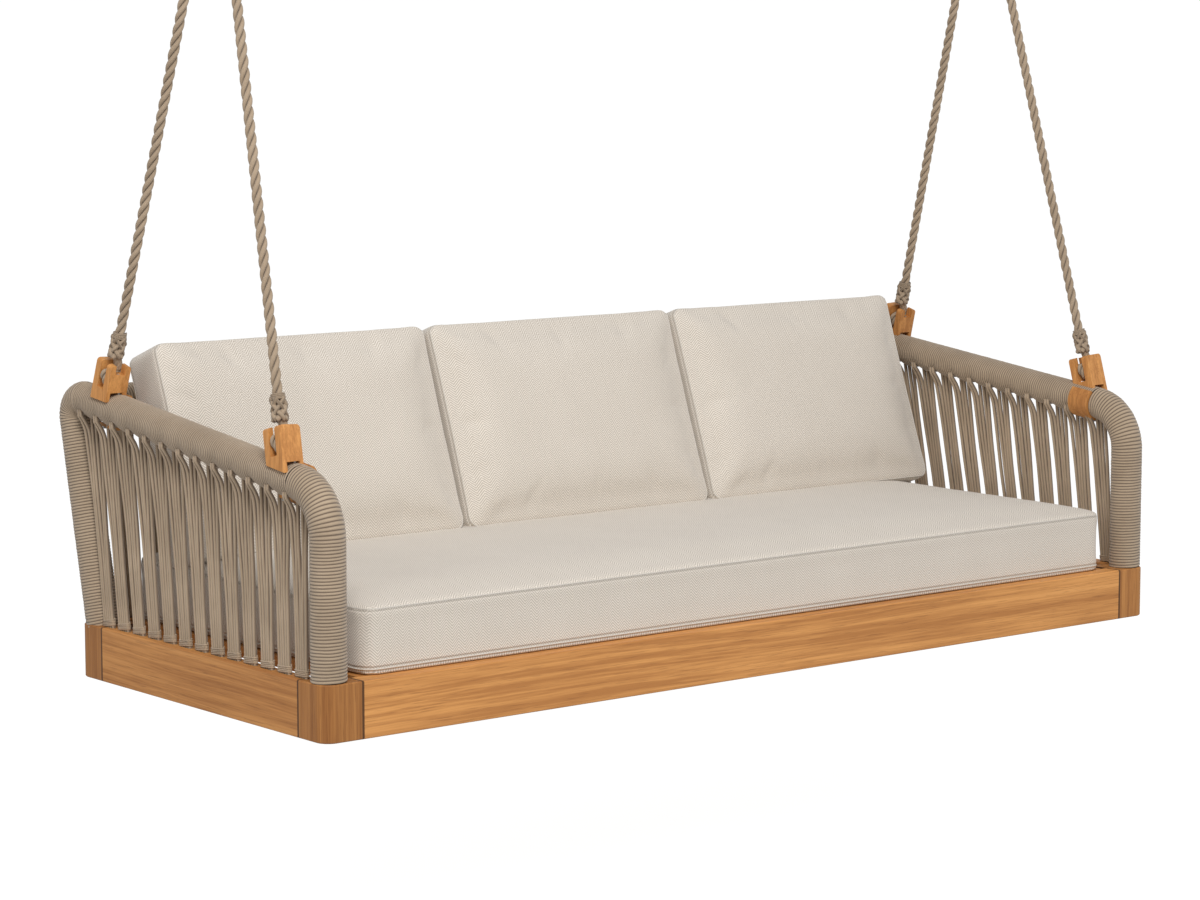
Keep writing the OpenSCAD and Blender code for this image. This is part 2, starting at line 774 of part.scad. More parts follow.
// inner = 1 puts the slotted cheek on the far side, -1 on the near side
module yoke(root, pin, lean, inner)
    difference() {
        union() {
            difference() {
                at_pin(pin, lean)
                    for (s = [-1, 1])
                        translate([0, s * (cheek_gap + cheek_thickness) / 2 + cheek_thickness / 2, 0])
                            rotate([90, 0, 0])
                                linear_extrude(height = cheek_thickness)
                                    cheek_outline(yoke_low - 14);
                at_root(root)
                    translate([hanger_offset + 2 - notch_width / 2, -90, 0])
                        cube([notch_width, 180, wrap_r + notch_height]);
            }
            at_pin(pin, lean)
                translate([-cheek_width / 2, -cheek_gap / 2 - 1, yoke_low - 14])
                    cube([cheek_width, cheek_gap + 2, web_top - yoke_low + 14]);
        }
        at_root(root) {
            rotate([90, 0, 0])
                cylinder(h = through, r = wrap_r, center = true);
            translate([-60, -90, -40])
                cube([120, 180, 60]);
        }
        at_pin(pin, lean)
            translate([-slot_width / 2, inner > 0 ? cheek_gap / 2 - 1 : -yoke_half - 1,
                       rope_pin_diameter / 2 + 2.5])
                cube([slot_width, cheek_thickness + 2, cheek_rise]);
        rope_pin_solid(pin);
        screw_shanks(root, lean);
    }

collar_start = 134;
collar_turn = 147;

module collar(root, lean)
    difference() {
        at_root(root)
            rotate([90, 0, 0])
                translate([0, 0, -yoke_half])
                    rotate([0, 0, collar_start])
                        rotate_extrude(angle = collar_turn)
                            translate([wrap_r, 0])
                                square([collar_thickness, 2 * yoke_half]);
        screw_shanks(root, lean);
    }

rope_pin_length = cheek_gap + 2 * cheek_thickness - 10;

// Every rope pin lies along the line through the front and back pins of its side
module rope_pin_solid(pin)
    translate([hanger_x, pin[0], pin[1]])
        rotate([pin_tilt, 0, 0])
            rotate([90, 0, 0])
                cylinder(h = rope_pin_length, r = rope_pin_diameter / 2, center = true);

screw_r = 3;
screw_head_r = 5.5;
screw_head = 4;
screw_into_cheek = 22;
screw_below = wrap_r + collar_thickness;

// Two screws per hanger go up through the collar and the tube into the cheeks
module screw_shanks(root, lean)
    at_screws(root, lean)
        translate([0, 0, -1])
            cylinder(h = screw_below + wrap_r + screw_into_cheek + 1, r = screw_r);

// Button heads that sit on the collar's round underside
module screw_heads(root, lean)
    difference() {
        at_screws(root, lean)
            translate([0, 0, -screw_head])
                cylinder(h = screw_head + 6, r = screw_head_r);
        at_root(root)
            rotate([90, 0, 0])
                cylinder(h = through, r = wrap_r + collar_thickness, center = true);
    }

module front_yoke() yoke(front_root, front_pin, front_rope_lean, 1);
module back_yoke() yoke(back_root, back_pin, back_rope_lean, -1);
module front_collar() collar(front_root, front_rope_lean);
module back_collar() collar(back_root, back_rope_lean);
module front_right_hanger() color(wood) placed() front_yoke();
module front_left_hanger() color(wood) left_side() placed() front_yoke();
module back_right_hanger() color(wood) placed() back_yoke();
module back_left_hanger() color(wood) left_side() placed() back_yoke();
module front_right_collar() color(wood) placed() front_collar();
module front_left_collar() color(wood) left_side() placed() front_collar();
module back_right_collar() color(wood) placed() back_collar();
module back_left_collar() color(wood) left_side() placed() back_collar();

module rope_pins() color(steel) placed()
    for (side = [0, 1])
        mirror([side, 0, 0]) {
            rope_pin_solid(front_pin);
            rope_pin_solid(back_pin);
        }

module hanger_screws() color(steel) placed()
    for (side = [0, 1])
        mirror([side, 0, 0]) {
            screw_shanks(front_root, front_rope_lean);
            screw_shanks(back_root, back_rope_lean);
            screw_heads(front_root, front_rope_lean);
            screw_heads(back_root, back_rope_lean);
        }

// ---- Ropes ---------------------------------------------------------------------------------

throat_angle = asin(eye_radius / eye_throat);
leg_run = sqrt(eye_throat * eye_throat - eye_radius * eye_radius);

// An eye round the origin with its splice along +Z; the pin passes along Y
module rope_eye() {
    r = eye_rope_diameter / 2;
    sunk = 1;
    rotate([90, 0, 0])
        rotate([0, 0, 180 - throat_angle])
            bend(eye_radius, 180 + 2 * throat_angle, r);
    for (s = [0, 1])
        mirror([s, 0, 0])
            translate([eye_radius * cos(throat_angle), 0, eye_radius * sin(throat_angle)])
                rotate([0, -throat_angle, 0])
                    translate([0, 0, -sunk])
                        cylinder(h = leg_run + sunk, r = r - 0.1);
    sr = splice_diameter / 2;
    rotate_extrude()
        polygon([[0, eye_throat - 9], [sr - 3, eye_throat - 7], [sr, eye_throat + 2],
                 [sr - 1, splice_end - 8], [sr, splice_end - 7], [sr, splice_end - 1],
                 [sr - 2, splice_end], [0, splice_end]]);
}

module rope(pin, eye) {
    lower = [hanger_x, pin[0], pin[1]];
    upper = [hang_reach, eye[0], eye[1]];
    v = upper - lower;
    length = norm(v);
    lean = atan2(v[1], v[2]);
    inward = asin(v[0] / length);
    translate(lower)
        rotate([-lean, 0, 0])
            rotate([0, inward, 0]) {
                rope_eye();
                translate([0, 0, splice_end - 1])
                    cylinder(h = length - 2 * splice_end + 2, r = rope_diameter / 2);
                translate([0, 0, length])
                    rotate([0, 180, 0])
                        rope_eye();
            }
}

module front_right_rope() color(cord) placed() rope(front_pin, front_eye);
module front_left_rope() color(cord) left_side() placed() rope(front_pin, front_eye);
module back_right_rope() color(cord) placed() rope(back_pin, back_eye);
module back_left_rope() color(cord) left_side() placed() rope(back_pin, back_eye);

// ---- Ceiling swivels -------------------------------------------------------------------------

fork_front = front_eye_offset + eye_outer * sin(eye_tilt_limit) + eye_rope_diameter / 2 + 5;
fork_back = back_eye_offset + eye_outer * sin(eye_tilt_limit) + eye_rope_diameter / 2;
fork_width = 36;
fork_top = eye_outer + 5;
boss_r = swing_pin_diameter / 2 + 9;

// Local frame of the fork: origin on the upper rope pin, Y along that pin
module at_fork()
    translate([hang_reach, hang_point[0], hang_point[1]])
        rotate([pin_tilt, 0, 0])
            children();

module fork_cheek(y)
    translate([0, y, 0])
        rotate([90, 0, 0])
            linear_extrude(height = plate_thickness, center = true) {
                circle(r = fork_width / 2);
                translate([-fork_width / 2, 0])
                    square([fork_width, fork_top + plate_thickness]);
            }

module swivel_shape()
    difference() {
        union() {
            at_fork() {
                fork_cheek(-fork_front - plate_thickness / 2);
                fork_cheek(fork_back + plate_thickness / 2);
                translate([-fork_width / 2, -fork_front - 1, fork_top])
                    cube([fork_width, fork_front + fork_back + 2, plate_thickness]);
            }
            translate([hang_reach - boss_length / 2, hang_point[0], 0]) {
                translate([0, -10, rope_top_height + fork_top + 2])
                    cube([boss_length, 20, swing_rise - fork_top - 6]);
                translate([0, 0, swing_z])
                    rotate([0, 90, 0])
                        cylinder(h = boss_length, r = boss_r);
            }
        }
        translate([hang_reach, hang_point[0], swing_z])
            rotate([0, 90, 0])
                cylinder(h = boss_length + 10, r = swing_pin_diameter / 2 + running_clearance, center = true);
        upper_pin_shank();
    }

module upper_pin_shank()
    at_fork()
        translate([0, fork_back + plate_thickness + 8, 0])
            rotate([90, 0, 0])
                cylinder(h = fork_front + fork_back + 2 * plate_thickness + 12, r = rope_pin_diameter / 2);

// The upper rope pin has a round head in front and a hexagon nut behind
module upper_pin_shape() {
    upper_pin_shank();
    at_fork() {
        translate([0, -fork_front - plate_thickness, 0])
            rotate([90, 0, 0])
                cylinder(h = 5, r = rope_pin_diameter / 2 + 4);
        translate([0, fork_back + plate_thickness + 7, 0])
            rotate([90, 0, 0])
                linear_extrude(height = 7)
                    circle(r = rope_pin_diameter / 2 + 4.5, $fn = 6);
    }
}

ear_inner = boss_length / 2 + boss_play;

module ceiling_bracket_shape()
    translate([hang_reach, hang_point[0], swing_z])
        difference() {
            union() {
                translate([-plate_length / 2, -plate_width / 2, ceiling_gap])
                    cube([plate_length, plate_width, plate_thickness]);
                for (s = [0, 1])
                    mirror([s, 0, 0])
                        translate([ear_inner, 0, 0])
                            side_plane()
                                linear_extrude(height = plate_thickness) {
                                    circle(r = ear_radius);
                                    translate([-ear_radius, 0])
                                        square([2 * ear_radius, ceiling_gap + 1]);
                                }
            }
            rotate([0, 90, 0])
                cylinder(h = 100, r = swing_pin_diameter / 2, center = true);
            for (x = [-1, 1], y = [-1, 1])
                translate([x * bolt_spacing_x / 2, y * bolt_spacing_y / 2, 0])
                    cylinder(h = ceiling_gap + 2 * plate_thickness, r = bolt_hole_diameter / 2);
        }

module swing_pin_shape()
    translate([hang_reach, hang_point[0], swing_z]) {
        reach = ear_inner + plate_thickness;
        translate([-reach - 9, 0, 0])
            rotate([0, 90, 0])
                cylinder(h = 2 * reach + 9, r = swing_pin_diameter / 2);
        translate([reach, 0, 0])
            rotate([0, 90, 0])
                cylinder(h = 6, r = swing_pin_diameter / 2 + 4);
        translate([-reach - 7, 0, 0])
            rotate([0, 90, 0])
                linear_extrude(height = 7)
                    circle(r = swing_pin_diameter / 2 + 5, $fn = 6);
    }

module right_swivel() color(dark) placed() swivel_shape();
module left_swivel() color(dark) left_side() placed() swivel_shape();
module right_upper_pin() color(steel) placed() upper_pin_shape();
module left_upper_pin() color(steel) left_side() placed() upper_pin_shape();
module right_ceiling_bracket() color(dark) placed() ceiling_bracket_shape();
module left_ceiling_bracket() color(dark) left_side() placed() ceiling_bracket_shape();
module right_swing_pin() color(steel) placed() swing_pin_shape();
module left_swing_pin() color(steel) left_side() placed() swing_pin_shape();

front_rail();
rear_rail();
left_side_rail();
right_side_rail();
front_left_block();
front_right_block();
rear_left_block();
rear_right_block();
front_ledger();
rear_ledger();
seat_slats();
left_front_leg_tube();
right_front_leg_tube();
left_arm_tube();
right_arm_tube();
left_back_leg_tube();
right_back_leg_tube();
back_rail_tube();
left_front_leg_wrap();
right_front_leg_wrap();
left_arm_wrap();
right_arm_wrap();
left_back_leg_wrap();
right_back_leg_wrap();
back_rail_wrap();
left_side_strands();
right_side_strands();
back_strands();
seat_cushion();
left_back_cushion();
middle_back_cushion();
right_back_cushion();
front_left_hanger();
front_right_hanger();
back_left_hanger();
back_right_hanger();
front_left_collar();
front_right_collar();
back_left_collar();
back_right_collar();
rope_pins();
hanger_screws();
front_left_rope();
front_right_rope();
back_left_rope();
back_right_rope();
left_swivel();
right_swivel();
left_upper_pin();
right_upper_pin();
left_ceiling_bracket();
right_ceiling_bracket();
left_swing_pin();
right_swing_pin();
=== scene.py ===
"""The look of a hanging swing bed: teak base, cord-wound side frames, strands, loose cushions, laid ropes.

Metres, in the part's own frame: X is the width, Y goes from front to back, Z is up.
"""

import math

import bmesh
import bpy
from mathutils import Matrix, Vector, noise


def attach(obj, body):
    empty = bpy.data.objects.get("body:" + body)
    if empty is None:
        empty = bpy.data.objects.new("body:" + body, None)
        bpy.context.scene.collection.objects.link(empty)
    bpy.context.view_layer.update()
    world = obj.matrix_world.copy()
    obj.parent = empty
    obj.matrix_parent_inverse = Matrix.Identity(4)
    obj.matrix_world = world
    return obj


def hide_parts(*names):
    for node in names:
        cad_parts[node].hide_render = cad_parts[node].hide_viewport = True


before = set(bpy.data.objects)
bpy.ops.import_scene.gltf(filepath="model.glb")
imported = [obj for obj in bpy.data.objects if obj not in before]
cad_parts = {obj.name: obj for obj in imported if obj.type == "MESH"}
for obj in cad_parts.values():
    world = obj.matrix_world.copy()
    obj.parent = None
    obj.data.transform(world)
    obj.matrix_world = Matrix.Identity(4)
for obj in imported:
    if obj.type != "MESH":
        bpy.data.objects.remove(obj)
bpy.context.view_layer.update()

# ---- Camera ----------------------------------------------------------------------------------
# The swing bed is seen from the front left and a little from above, with a long lens, as in a
# catalogue picture. The ropes leave the picture at its top.
camera_data = bpy.data.cameras.new("camera")
camera_data.lens = 100.746
camera_data.sensor_width = 36
camera_data.clip_end = 200
camera = bpy.data.objects.new("camera", camera_data)
camera.location = (-4.3693, -5.3152, 1.2522)
camera.rotation_euler = (math.radians(90 - 7.0677), 0, math.radians(-38.9732))
bpy.context.scene.collection.objects.link(camera)
bpy.context.scene.camera = camera

# ---- Ropes -----------------------------------------------------------------------------------
# Four laid ropes of three strands. Each end is an eye round a steel pin, spliced back into the
# rope, and the splice ends in a whipping of thin cord. The upper eyes hang on the ceiling swivels.
rope_diameter = 0.020
rope_lay = 0.072
eye_rope_diameter = 0.017
eye_radius = 0.0163
eye_throat = 0.046
splice_end = 0.084
splice_diameter = 0.027
pin_x = 1.050
hang_x = 0.991
mid_y = 0.042778
lower_pins = {"front": (-0.263789, 0.526109), "back": (0.325128, 0.600011)}
upper_pins = {"front": (0.004621, 1.588073), "back": (0.032403, 1.591560)}
strand_steps = 20


def noise_of(nodes, vector, scale, detail=3.0, rough=0.5):
    """A noise texture on a vector, for a material or a group."""
    texture = nodes.new("ShaderNodeTexNoise")
    texture.inputs["Scale"].default_value = scale
    texture.inputs["Detail"].default_value = detail
    texture.inputs["Roughness"].default_value = rough
    nodes.id_data.links.new(vector, texture.inputs["Vector"])
    return texture.outputs["Fac"]


def mapped(nodes, vector, scale, place=(0, 0, 0), turn=(0, 0, 0)):
    """A vector that is moved, turned and stretched."""
    mapping = nodes.new("ShaderNodeMapping")
    mapping.inputs["Location"].default_value = place
    mapping.inputs["Rotation"].default_value = turn
    mapping.inputs["Scale"].default_value = scale
    nodes.id_data.links.new(vector, mapping.inputs["Vector"])
    return mapping.outputs["Vector"]


def ramp(nodes, factor, stops):
    """A colour ramp through stops of (place, colour)."""
    made = nodes.new("ShaderNodeValToRGB")
    band = made.color_ramp
    while len(band.elements) < len(stops):
        band.elements.new(0.5)
    for element, (place, colour) in zip(band.elements, stops):
        element.position = place
        element.color = (*colour, 1)
    nodes.id_data.links.new(factor, made.inputs["Fac"])
    return made.outputs["Color"]


def math_of(nodes, operation, first, second=0.5):
    """One step of arithmetic between sockets or numbers."""
    made = nodes.new("ShaderNodeMath")
    made.operation = operation
    for socket, value in zip(made.inputs, (first, second)):
        if isinstance(value, (int, float)):
            socket.default_value = value
        else:
            nodes.id_data.links.new(value, socket)
    return made.outputs["Value"]


def mixed(nodes, factor, first, second, kind="MIX"):
    """Two colours mixed; a colour is a socket or three numbers."""
    made = nodes.new("ShaderNodeMix")
    made.data_type = "RGBA"
    made.blend_type = kind
    for socket, value in zip((made.inputs[0], made.inputs[6], made.inputs[7]), (factor, first, second)):
        if isinstance(value, (int, float)):
            socket.default_value = value
        elif isinstance(value, tuple):
            socket.default_value = (*value, 1)
        else:
            nodes.id_data.links.new(value, socket)
    return made.outputs[2]


def new_material(name, **plain):
    """A material with its Principled shader, whose plain sockets are set by name."""
    made = bpy.data.materials.new(name)
    made.use_nodes = True
    shader = made.node_tree.nodes["Principled BSDF"]
    for socket, value in plain.items():
        shader.inputs[socket.replace("_", " ")].default_value = value
    return made, made.node_tree.nodes, made.node_tree.links, shader


def bump_into(nodes, shader, height, strength, distance):
    """A bump of that height on the shader's normal."""
    bump = nodes.new("ShaderNodeBump")
    bump.inputs["Strength"].default_value = strength
    bump.inputs["Distance"].default_value = distance
    nodes.id_data.links.new(height, bump.inputs["Height"])
    nodes.id_data.links.new(bump.outputs["Normal"], shader.inputs["Normal"])


def new_group(name, inputs, outputs):
    """A shader node group with named sockets of (name, kind, default)."""
    group = bpy.data.node_groups.new(name, "ShaderNodeTree")
    for label, kind, default in inputs:
        socket = group.interface.new_socket(label, in_out="INPUT", socket_type=kind)
        if default is not None:
            socket.default_value = default
    for label, kind in outputs:
        group.interface.new_socket(label, in_out="OUTPUT", socket_type=kind)
    return group, group.nodes, group.nodes.new("NodeGroupInput"), group.nodes.new("NodeGroupOutput")


def placed_group(nodes, group, **values):
    """The group as a node, with its sockets linked or set by name."""
    made = nodes.new("ShaderNodeGroup")
    made.node_tree = group
    for socket, value in values.items():
        target = made.inputs[socket.replace("_", " ")]
        if isinstance(value, bpy.types.NodeSocket):
            nodes.id_data.links.new(value, target)
        else:
            target.default_value = value
    return made.outputs


# Braided yarn: U runs along a cord and V round it, in cord widths. Two slanted waves cross.
braid, b_nodes, b_in, b_out = new_group(
    "braided_yarn",
    [("Along and round", "NodeSocketVector", None), ("Object place", "NodeSocketVector", None)],
    [("Height", "NodeSocketFloat"), ("Shade", "NodeSocketFloat")],
)
waves = []
for slant in (1, -1):
    slanted = mapped(b_nodes, b_in.outputs[0], (6, 2, 1), turn=(0, 0, slant * math.radians(28)))
    wave = b_nodes.new("ShaderNodeTexWave")
    wave.inputs["Scale"].default_value = 0.5
    wave.inputs["Distortion"].default_value = 0.8
    wave.inputs["Detail"].default_value = 1
    braid.links.new(slanted, wave.inputs["Vector"])
    waves.append(wave.outputs["Fac"])
crossing = math_of(b_nodes, "MAXIMUM", *waves)
blotches = noise_of(b_nodes, b_in.outputs[1], 14, 4)
fibres = noise_of(b_nodes, mapped(b_nodes, b_in.outputs[0], (3, 30, 1)), 2.2, 4)
height = math_of(b_nodes, "ADD", crossing, math_of(b_nodes, "MULTIPLY", fibres, 0.6))
shade = math_of(b_nodes, "ADD", math_of(b_nodes, "MULTIPLY", blotches, 0.6), math_of(b_nodes, "MULTIPLY", fibres, 0.5))
braid.links.new(height, b_out.inputs["Height"])
braid.links.new(shade, b_out.inputs["Shade"])


def cord_material(name, light, dark, groove_shade_colour):
    """Matt woven cord; a vertex attribute mixes the third colour in as painted shade where one turn meets the next, and
    between cords and strands.
    """
    made, nodes, links, shader = new_material(name, Roughness=0.86, Sheen_Weight=0.25, Sheen_Roughness=0.5)
    place = nodes.new("ShaderNodeTexCoord")
    yarn = placed_group(nodes, braid, Along_and_round=place.outputs["UV"], Object_place=place.outputs["Object"])
    groove_shade = nodes.new("ShaderNodeAttribute")
    groove_shade.attribute_name = "groove_shade"
    tone = ramp(nodes, yarn["Shade"], [(0.30, dark), (0.72, light)])
    # Painted shade: where the vertex attribute is high, the dark crevice colour is mixed in.
    links.new(mixed(nodes, groove_shade.outputs["Fac"], tone, groove_shade_colour), shader.inputs["Base Color"])
    bump_into(nodes, shader, yarn["Height"], 0.35, 0.0006)
    return made


rope_cord = cord_material("laid_rope", (0.45, 0.34, 0.235), (0.32, 0.235, 0.155), (0.09, 0.060, 0.038))


def finished(bm, name, material, body, slot, *stands_for):
    """Makes the bmesh a smooth piece that rides on its body and stands for its CAD nodes."""
    mesh = bpy.data.meshes.new(name)
    for face in bm.faces:
        face.smooth = True
    bm.to_mesh(mesh)
    bm.free()
    piece = bpy.data.objects.new(name, mesh)
    bpy.context.scene.collection.objects.link(piece)
    mesh.materials.append(material)
    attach(piece, body)
    if stands_for:
        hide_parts(*stands_for)
    return piece


def run_along(points, up):
    """Returns place(x, y, s): the point at x, y beside the line through points, s along it.

    X starts out along up and turns with the line, without a twist.
    """
    tangents = [(b - a).normalized() for a, b in zip(points, points[1:])]
    tangents.append(tangents[-1])
    lengths = [0.0]
    for a, b in zip(points, points[1:]):
        lengths.append(lengths[-1] + (b - a).length)
    across = [(up - up.dot(tangents[0]) * tangents[0]).normalized()]
    smooth = [tangents[0]]
    for before, after in zip(tangents, tangents[1:]):
        middle = (before + after).normalized()
        turn = smooth[-1].rotation_difference(middle)
        across.append(turn @ across[-1])
        smooth.append(middle)

    def place(x, y, s):
        i = min(max(0, sum_below(lengths, s)), len(points) - 2)
        share = (s - lengths[i]) / (lengths[i + 1] - lengths[i])
        line = points[i].lerp(points[i + 1], share)
        side = across[i].lerp(across[i + 1], share)
        ahead = smooth[i].lerp(smooth[i + 1], share).normalized()
        side = (side - side.dot(ahead) * ahead).normalized()
        return line + x * side + y * ahead.cross(side)

    return place, lengths[-1]


def sum_below(lengths, s):
    """The index of the last length that isn't past s."""
    low, high = 0, len(lengths) - 1
    while high - low > 1:
        half = (low + high) // 2
        if lengths[half] <= s:
            low = half
        else:
            high = half
    return low


def wrap_uv(bm, along_and_round, slip=0.0):
    """Writes a UV map from a function of a vertex's straight place, with no jump where V closes.

    Slip is how far U falls back there, on a cord that is wound.
    """
    layer = bm.loops.layers.uv.verify()
    values = {vert: along_and_round(vert) for vert in bm.verts}
    for face in bm.faces:
        rounds = [values[loop.vert][1] for loop in face.loops]
        for loop, turn in zip(face.loops, rounds):
            lift = 1 if max(rounds) - turn > 0.5 else 0
            loop[layer].uv = (values[loop.vert][0] - lift * slip, turn + lift)


def laid_strands(radius, length, lay, sides=9, count=3):
    """Straight laid rope along Z: strands that twist round each other, with their UV and painted shade in the valleys
    between strands.
    """
    bm = bmesh.new()
    strand = radius / (1 + 1 / math.sin(math.pi / count))
    reach = radius - strand
    for i in range(count):
        turn = Matrix.Rotation(math.tau * i / count, 4, "Z")
        bmesh.ops.create_circle(bm, segments=sides, radius=strand,
                                matrix=turn @ Matrix.Translation((reach, 0, 0)) @ Matrix.Diagonal((1, 1.13, 1, 1)))
    steps = max(2, round(length / lay * strand_steps))
    bmesh.ops.spin(bm, geom=bm.verts[:] + bm.edges[:], cent=(0, 0, 0), axis=(0, 0, 1),
                   dvec=(0, 0, length / steps), angle=math.tau * length / lay, steps=steps,
                   use_merge=False, use_normal_flip=False, use_duplicate=False)
    bmesh.ops.holes_fill(bm, edges=bm.edges[:], sides=0)
    bmesh.ops.recalc_face_normals(bm, faces=bm.faces[:])

    def strand_place(vert):
        angle = math.atan2(vert.co.y, vert.co.x) - math.tau * vert.co.z / lay
        nearest = round(angle / math.tau * count)
        centre = math.tau * (nearest / count + vert.co.z / lay)
        off = vert.co.xy - reach * Vector((math.cos(centre), math.sin(centre)))
        around = math.atan2(off.y, off.x) - centre
        return vert.co.z / (2 * strand), (around / math.tau) % 1.0

    wrap_uv(bm, strand_place)
    # Painted shade: darker the deeper a point lies in the valleys between strands.
    groove_shade = bm.verts.layers.float.new("groove_shade")
    for vert in bm.verts:
        depth = (radius - vert.co.xy.length) / (1.15 * strand)
        vert[groove_shade] = min(1.0, max(0.0, depth - 0.25)) ** 1.5
    return bm


def bent(bm, place):
    """Lays straight work on Z along a line."""
    for vert in bm.verts:
        vert.co = place(*vert.co)
    return bm


def joined(into, bm, move=None):
    """Adds one bmesh to another, with its UV and its painted groove shade."""
    if move is not None:
        bm.transform(move)
    mesh = bpy.data.meshes.new("part")
    bm.to_mesh(mesh)
    bm.free()
    into.from_mesh(mesh)
    bpy.data.meshes.remove(mesh)
    return into


def whipping(radius, low, high, cord):
    """Turns of thin cord round a rope, from low to high on Z."""
    bm = bmesh.new()
    turns = round((high - low) / cord)
    half = [Vector((radius + 0.5 * cord * math.sin(math.pi * i / 4), 0, low + cord * i / 4)) for i in range(5)]
    verts = [bm.verts.new(p) for p in half]
    edges = [bm.edges.new(pair) for pair in zip(verts, verts[1:])]
    bmesh.ops.spin(bm, geom=verts + edges, cent=(0, 0, 0), axis=(0, 0, 1), dvec=(0, 0, cord / 28),
                   angle=math.tau * turns, steps=28 * turns, use_merge=False, use_duplicate=False)
    bmesh.ops.remove_doubles(bm, verts=bm.verts[:], dist=1e-5)
    bmesh.ops.holes_fill(bm, edges=bm.edges[:], sides=0)
    bmesh.ops.recalc_face_normals(bm, faces=bm.faces[:])
    # Painted shade: the whipping darkens towards the rope, between its turns.
    groove_shade = bm.verts.layers.float.new("groove_shade")
    for vert in bm.verts:
        vert[groove_shade] = 0.6 * (1 - min(1.0, max(0.0, (vert.co.xy.length - radius) / (0.5 * cord))))
    wrap_uv(bm, lambda vert: (math.atan2(vert.co.y, vert.co.x) * radius / cord, (vert.co.z / cord) % 1.0))
    return bm


def straight_cord(width, thickness, length, steps, sides):
    """A plain cord on Z, flat where its width isn't its thickness, with its UV and no painted groove shade."""
    bm = bmesh.new()
    bmesh.ops.create_circle(bm, segments=sides, radius=0.5, matrix=Matrix.Diagonal((width, thickness, 1, 1)))
    bmesh.ops.spin(bm, geom=bm.verts[:] + bm.edges[:], cent=(0, 0, 0), axis=(0, 0, 1),
                   dvec=(0, 0, length / steps), angle=0, steps=steps, use_merge=False, use_duplicate=False)
    bmesh.ops.holes_fill(bm, edges=bm.edges[:], sides=0)
    bmesh.ops.recalc_face_normals(bm, faces=bm.faces[:])

    def along_and_round(vert):
        angle = math.atan2(vert.co.y / thickness, vert.co.x / width)
        return vert.co.z / width, (angle / math.tau) % 1.0

    wrap_uv(bm, along_and_round)
    bm.verts.layers.float.new("groove_shade")
    return bm


def braided_splice(radius, low, high):
    """Tucked strands of a splice: two sets of five that wind opposite ways, wider where the eye opens."""
    length = high - low
    strand = 0.0054
    pitch = 0.094
    bm = straight_cord(2 * (radius - strand), 2 * (radius - strand), length, 2, 12)
    # Painted shade: the core under the tucked strands is dark all over.
    layer = bm.verts.layers.float["groove_shade"]
    for vert in bm.verts:
        vert.co.z += low
        vert[layer] = 1.0
    for way in (1, -1):
        for i in range(5):
            points = []
            for k in range(25):
                s = k / 24
                turn = way * math.tau * s * length / pitch + math.tau * i / 5
                reach = radius - 0.6 * strand + 0.0010 * way * math.cos(math.tau * s * length / pitch * 5)
                spread = 1 + 0.30 * (1 - s) ** 2
                points.append(Vector((spread * reach * math.cos(turn), reach * math.sin(turn), low + s * length)))
            place, run = run_along(points, Vector((0, 0, 1)))
            cord = straight_cord(2 * strand, 1.2 * strand, run, 24, 8)
            # Painted shade on each tucked strand's flanks, where it meets its neighbours.
            layer = cord.verts.layers.float["groove_shade"]
            for vert in cord.verts:
                vert[layer] = 0.65 * abs(vert.co.x / strand) ** 4
            joined(bm, bent(cord, place))
    return bm


def eye_points():
    """The line of an eye: from the splice down one leg, round the pin and up the other leg."""
    throat = math.asin(eye_radius / eye_throat)
    top = Vector((0, 0, eye_throat))
    turn = math.pi + 2 * throat
    arc = []
    for k in range(25):
        angle = throat - turn * k / 24
        arc.append(Vector((eye_radius * math.cos(angle), 0, eye_radius * math.sin(angle))))
    rise = Vector((0, 0, 0.006))
    down = [top.lerp(arc[0], k / 6) for k in range(6)]
    return [top + rise] + down + arc + down[::-1] + [top + rise]


def rope_end():
    """An eye with its splice and whipping, with the pin on Y at the origin and the rope on Z."""
    place, run = run_along(eye_points(), Vector((0, 1, 0)))
    bm = bent(laid_strands(eye_rope_diameter / 2, run, 0.058, 8), place)
    joined(bm, braided_splice(splice_diameter / 2, eye_throat - 0.008, splice_end - 0.004))
    joined(bm, whipping(splice_diameter / 2 - 0.0012, splice_end - 0.010, splice_end, 0.0028))
    return bm


for end in ("front", "back"):
    for side, sign in (("left", -1), ("right", 1)):
        lower = Vector((sign * pin_x, lower_pins[end][0] - mid_y, lower_pins[end][1]))
        upper = Vector((sign * hang_x, upper_pins[end][0] - mid_y, upper_pins[end][1]))
        run = upper - lower
        lean = Matrix.Rotation(-math.atan2(run.y, run.z), 4, "X")
        inward = Matrix.Rotation(math.asin(run.x / run.length), 4, "Y")
        at_lower = Matrix.Translation(lower) @ lean @ inward
        at_upper = at_lower @ Matrix.Translation((0, 0, run.length)) @ Matrix.Rotation(math.pi, 4, "Y")
        name = f"{end}_{side}_rope"
        body = f"{side}_ropes"
        for label, at in (("lower", at_lower), ("upper", at_upper)):
            bm = rope_end()
            bm.transform(at)
            finished(bm, f"{name}_{label}_eye", rope_cord, body, "rope")
        laid = laid_strands(rope_diameter / 2, run.length - 2 * splice_end + 0.004, rope_lay, 10)
        laid.transform(at_lower @ Matrix.Translation((0, 0, splice_end - 0.002)))
        piece = finished(laid, name, rope_cord, body, "rope", name)

# ---- Wound tubes -----------------------------------------------------------------------------
# Legs, arms and back rail are metal tubes wound close with one flat cord, turn beside turn. The
# turns fan out round the bends, and the arm's draw in where the bands of strands hang from it.
turn_pitch = 0.0060
turn_depth = 0.0016
wound_radius = 0.0333
turn_steps = 32
turns_at_once = 8
half_depth = 0.425
leg_x = 1.042
base_top = 0.106
arm_front_height = 0.445
arm_slope = math.radians(6.8)
back_lean = math.radians(12.4)
front_bend_radius = 0.095
back_bend_radius = 0.036
side_bands = 13
first_head = -0.304248 - mid_y
last_head = 0.416294 - mid_y

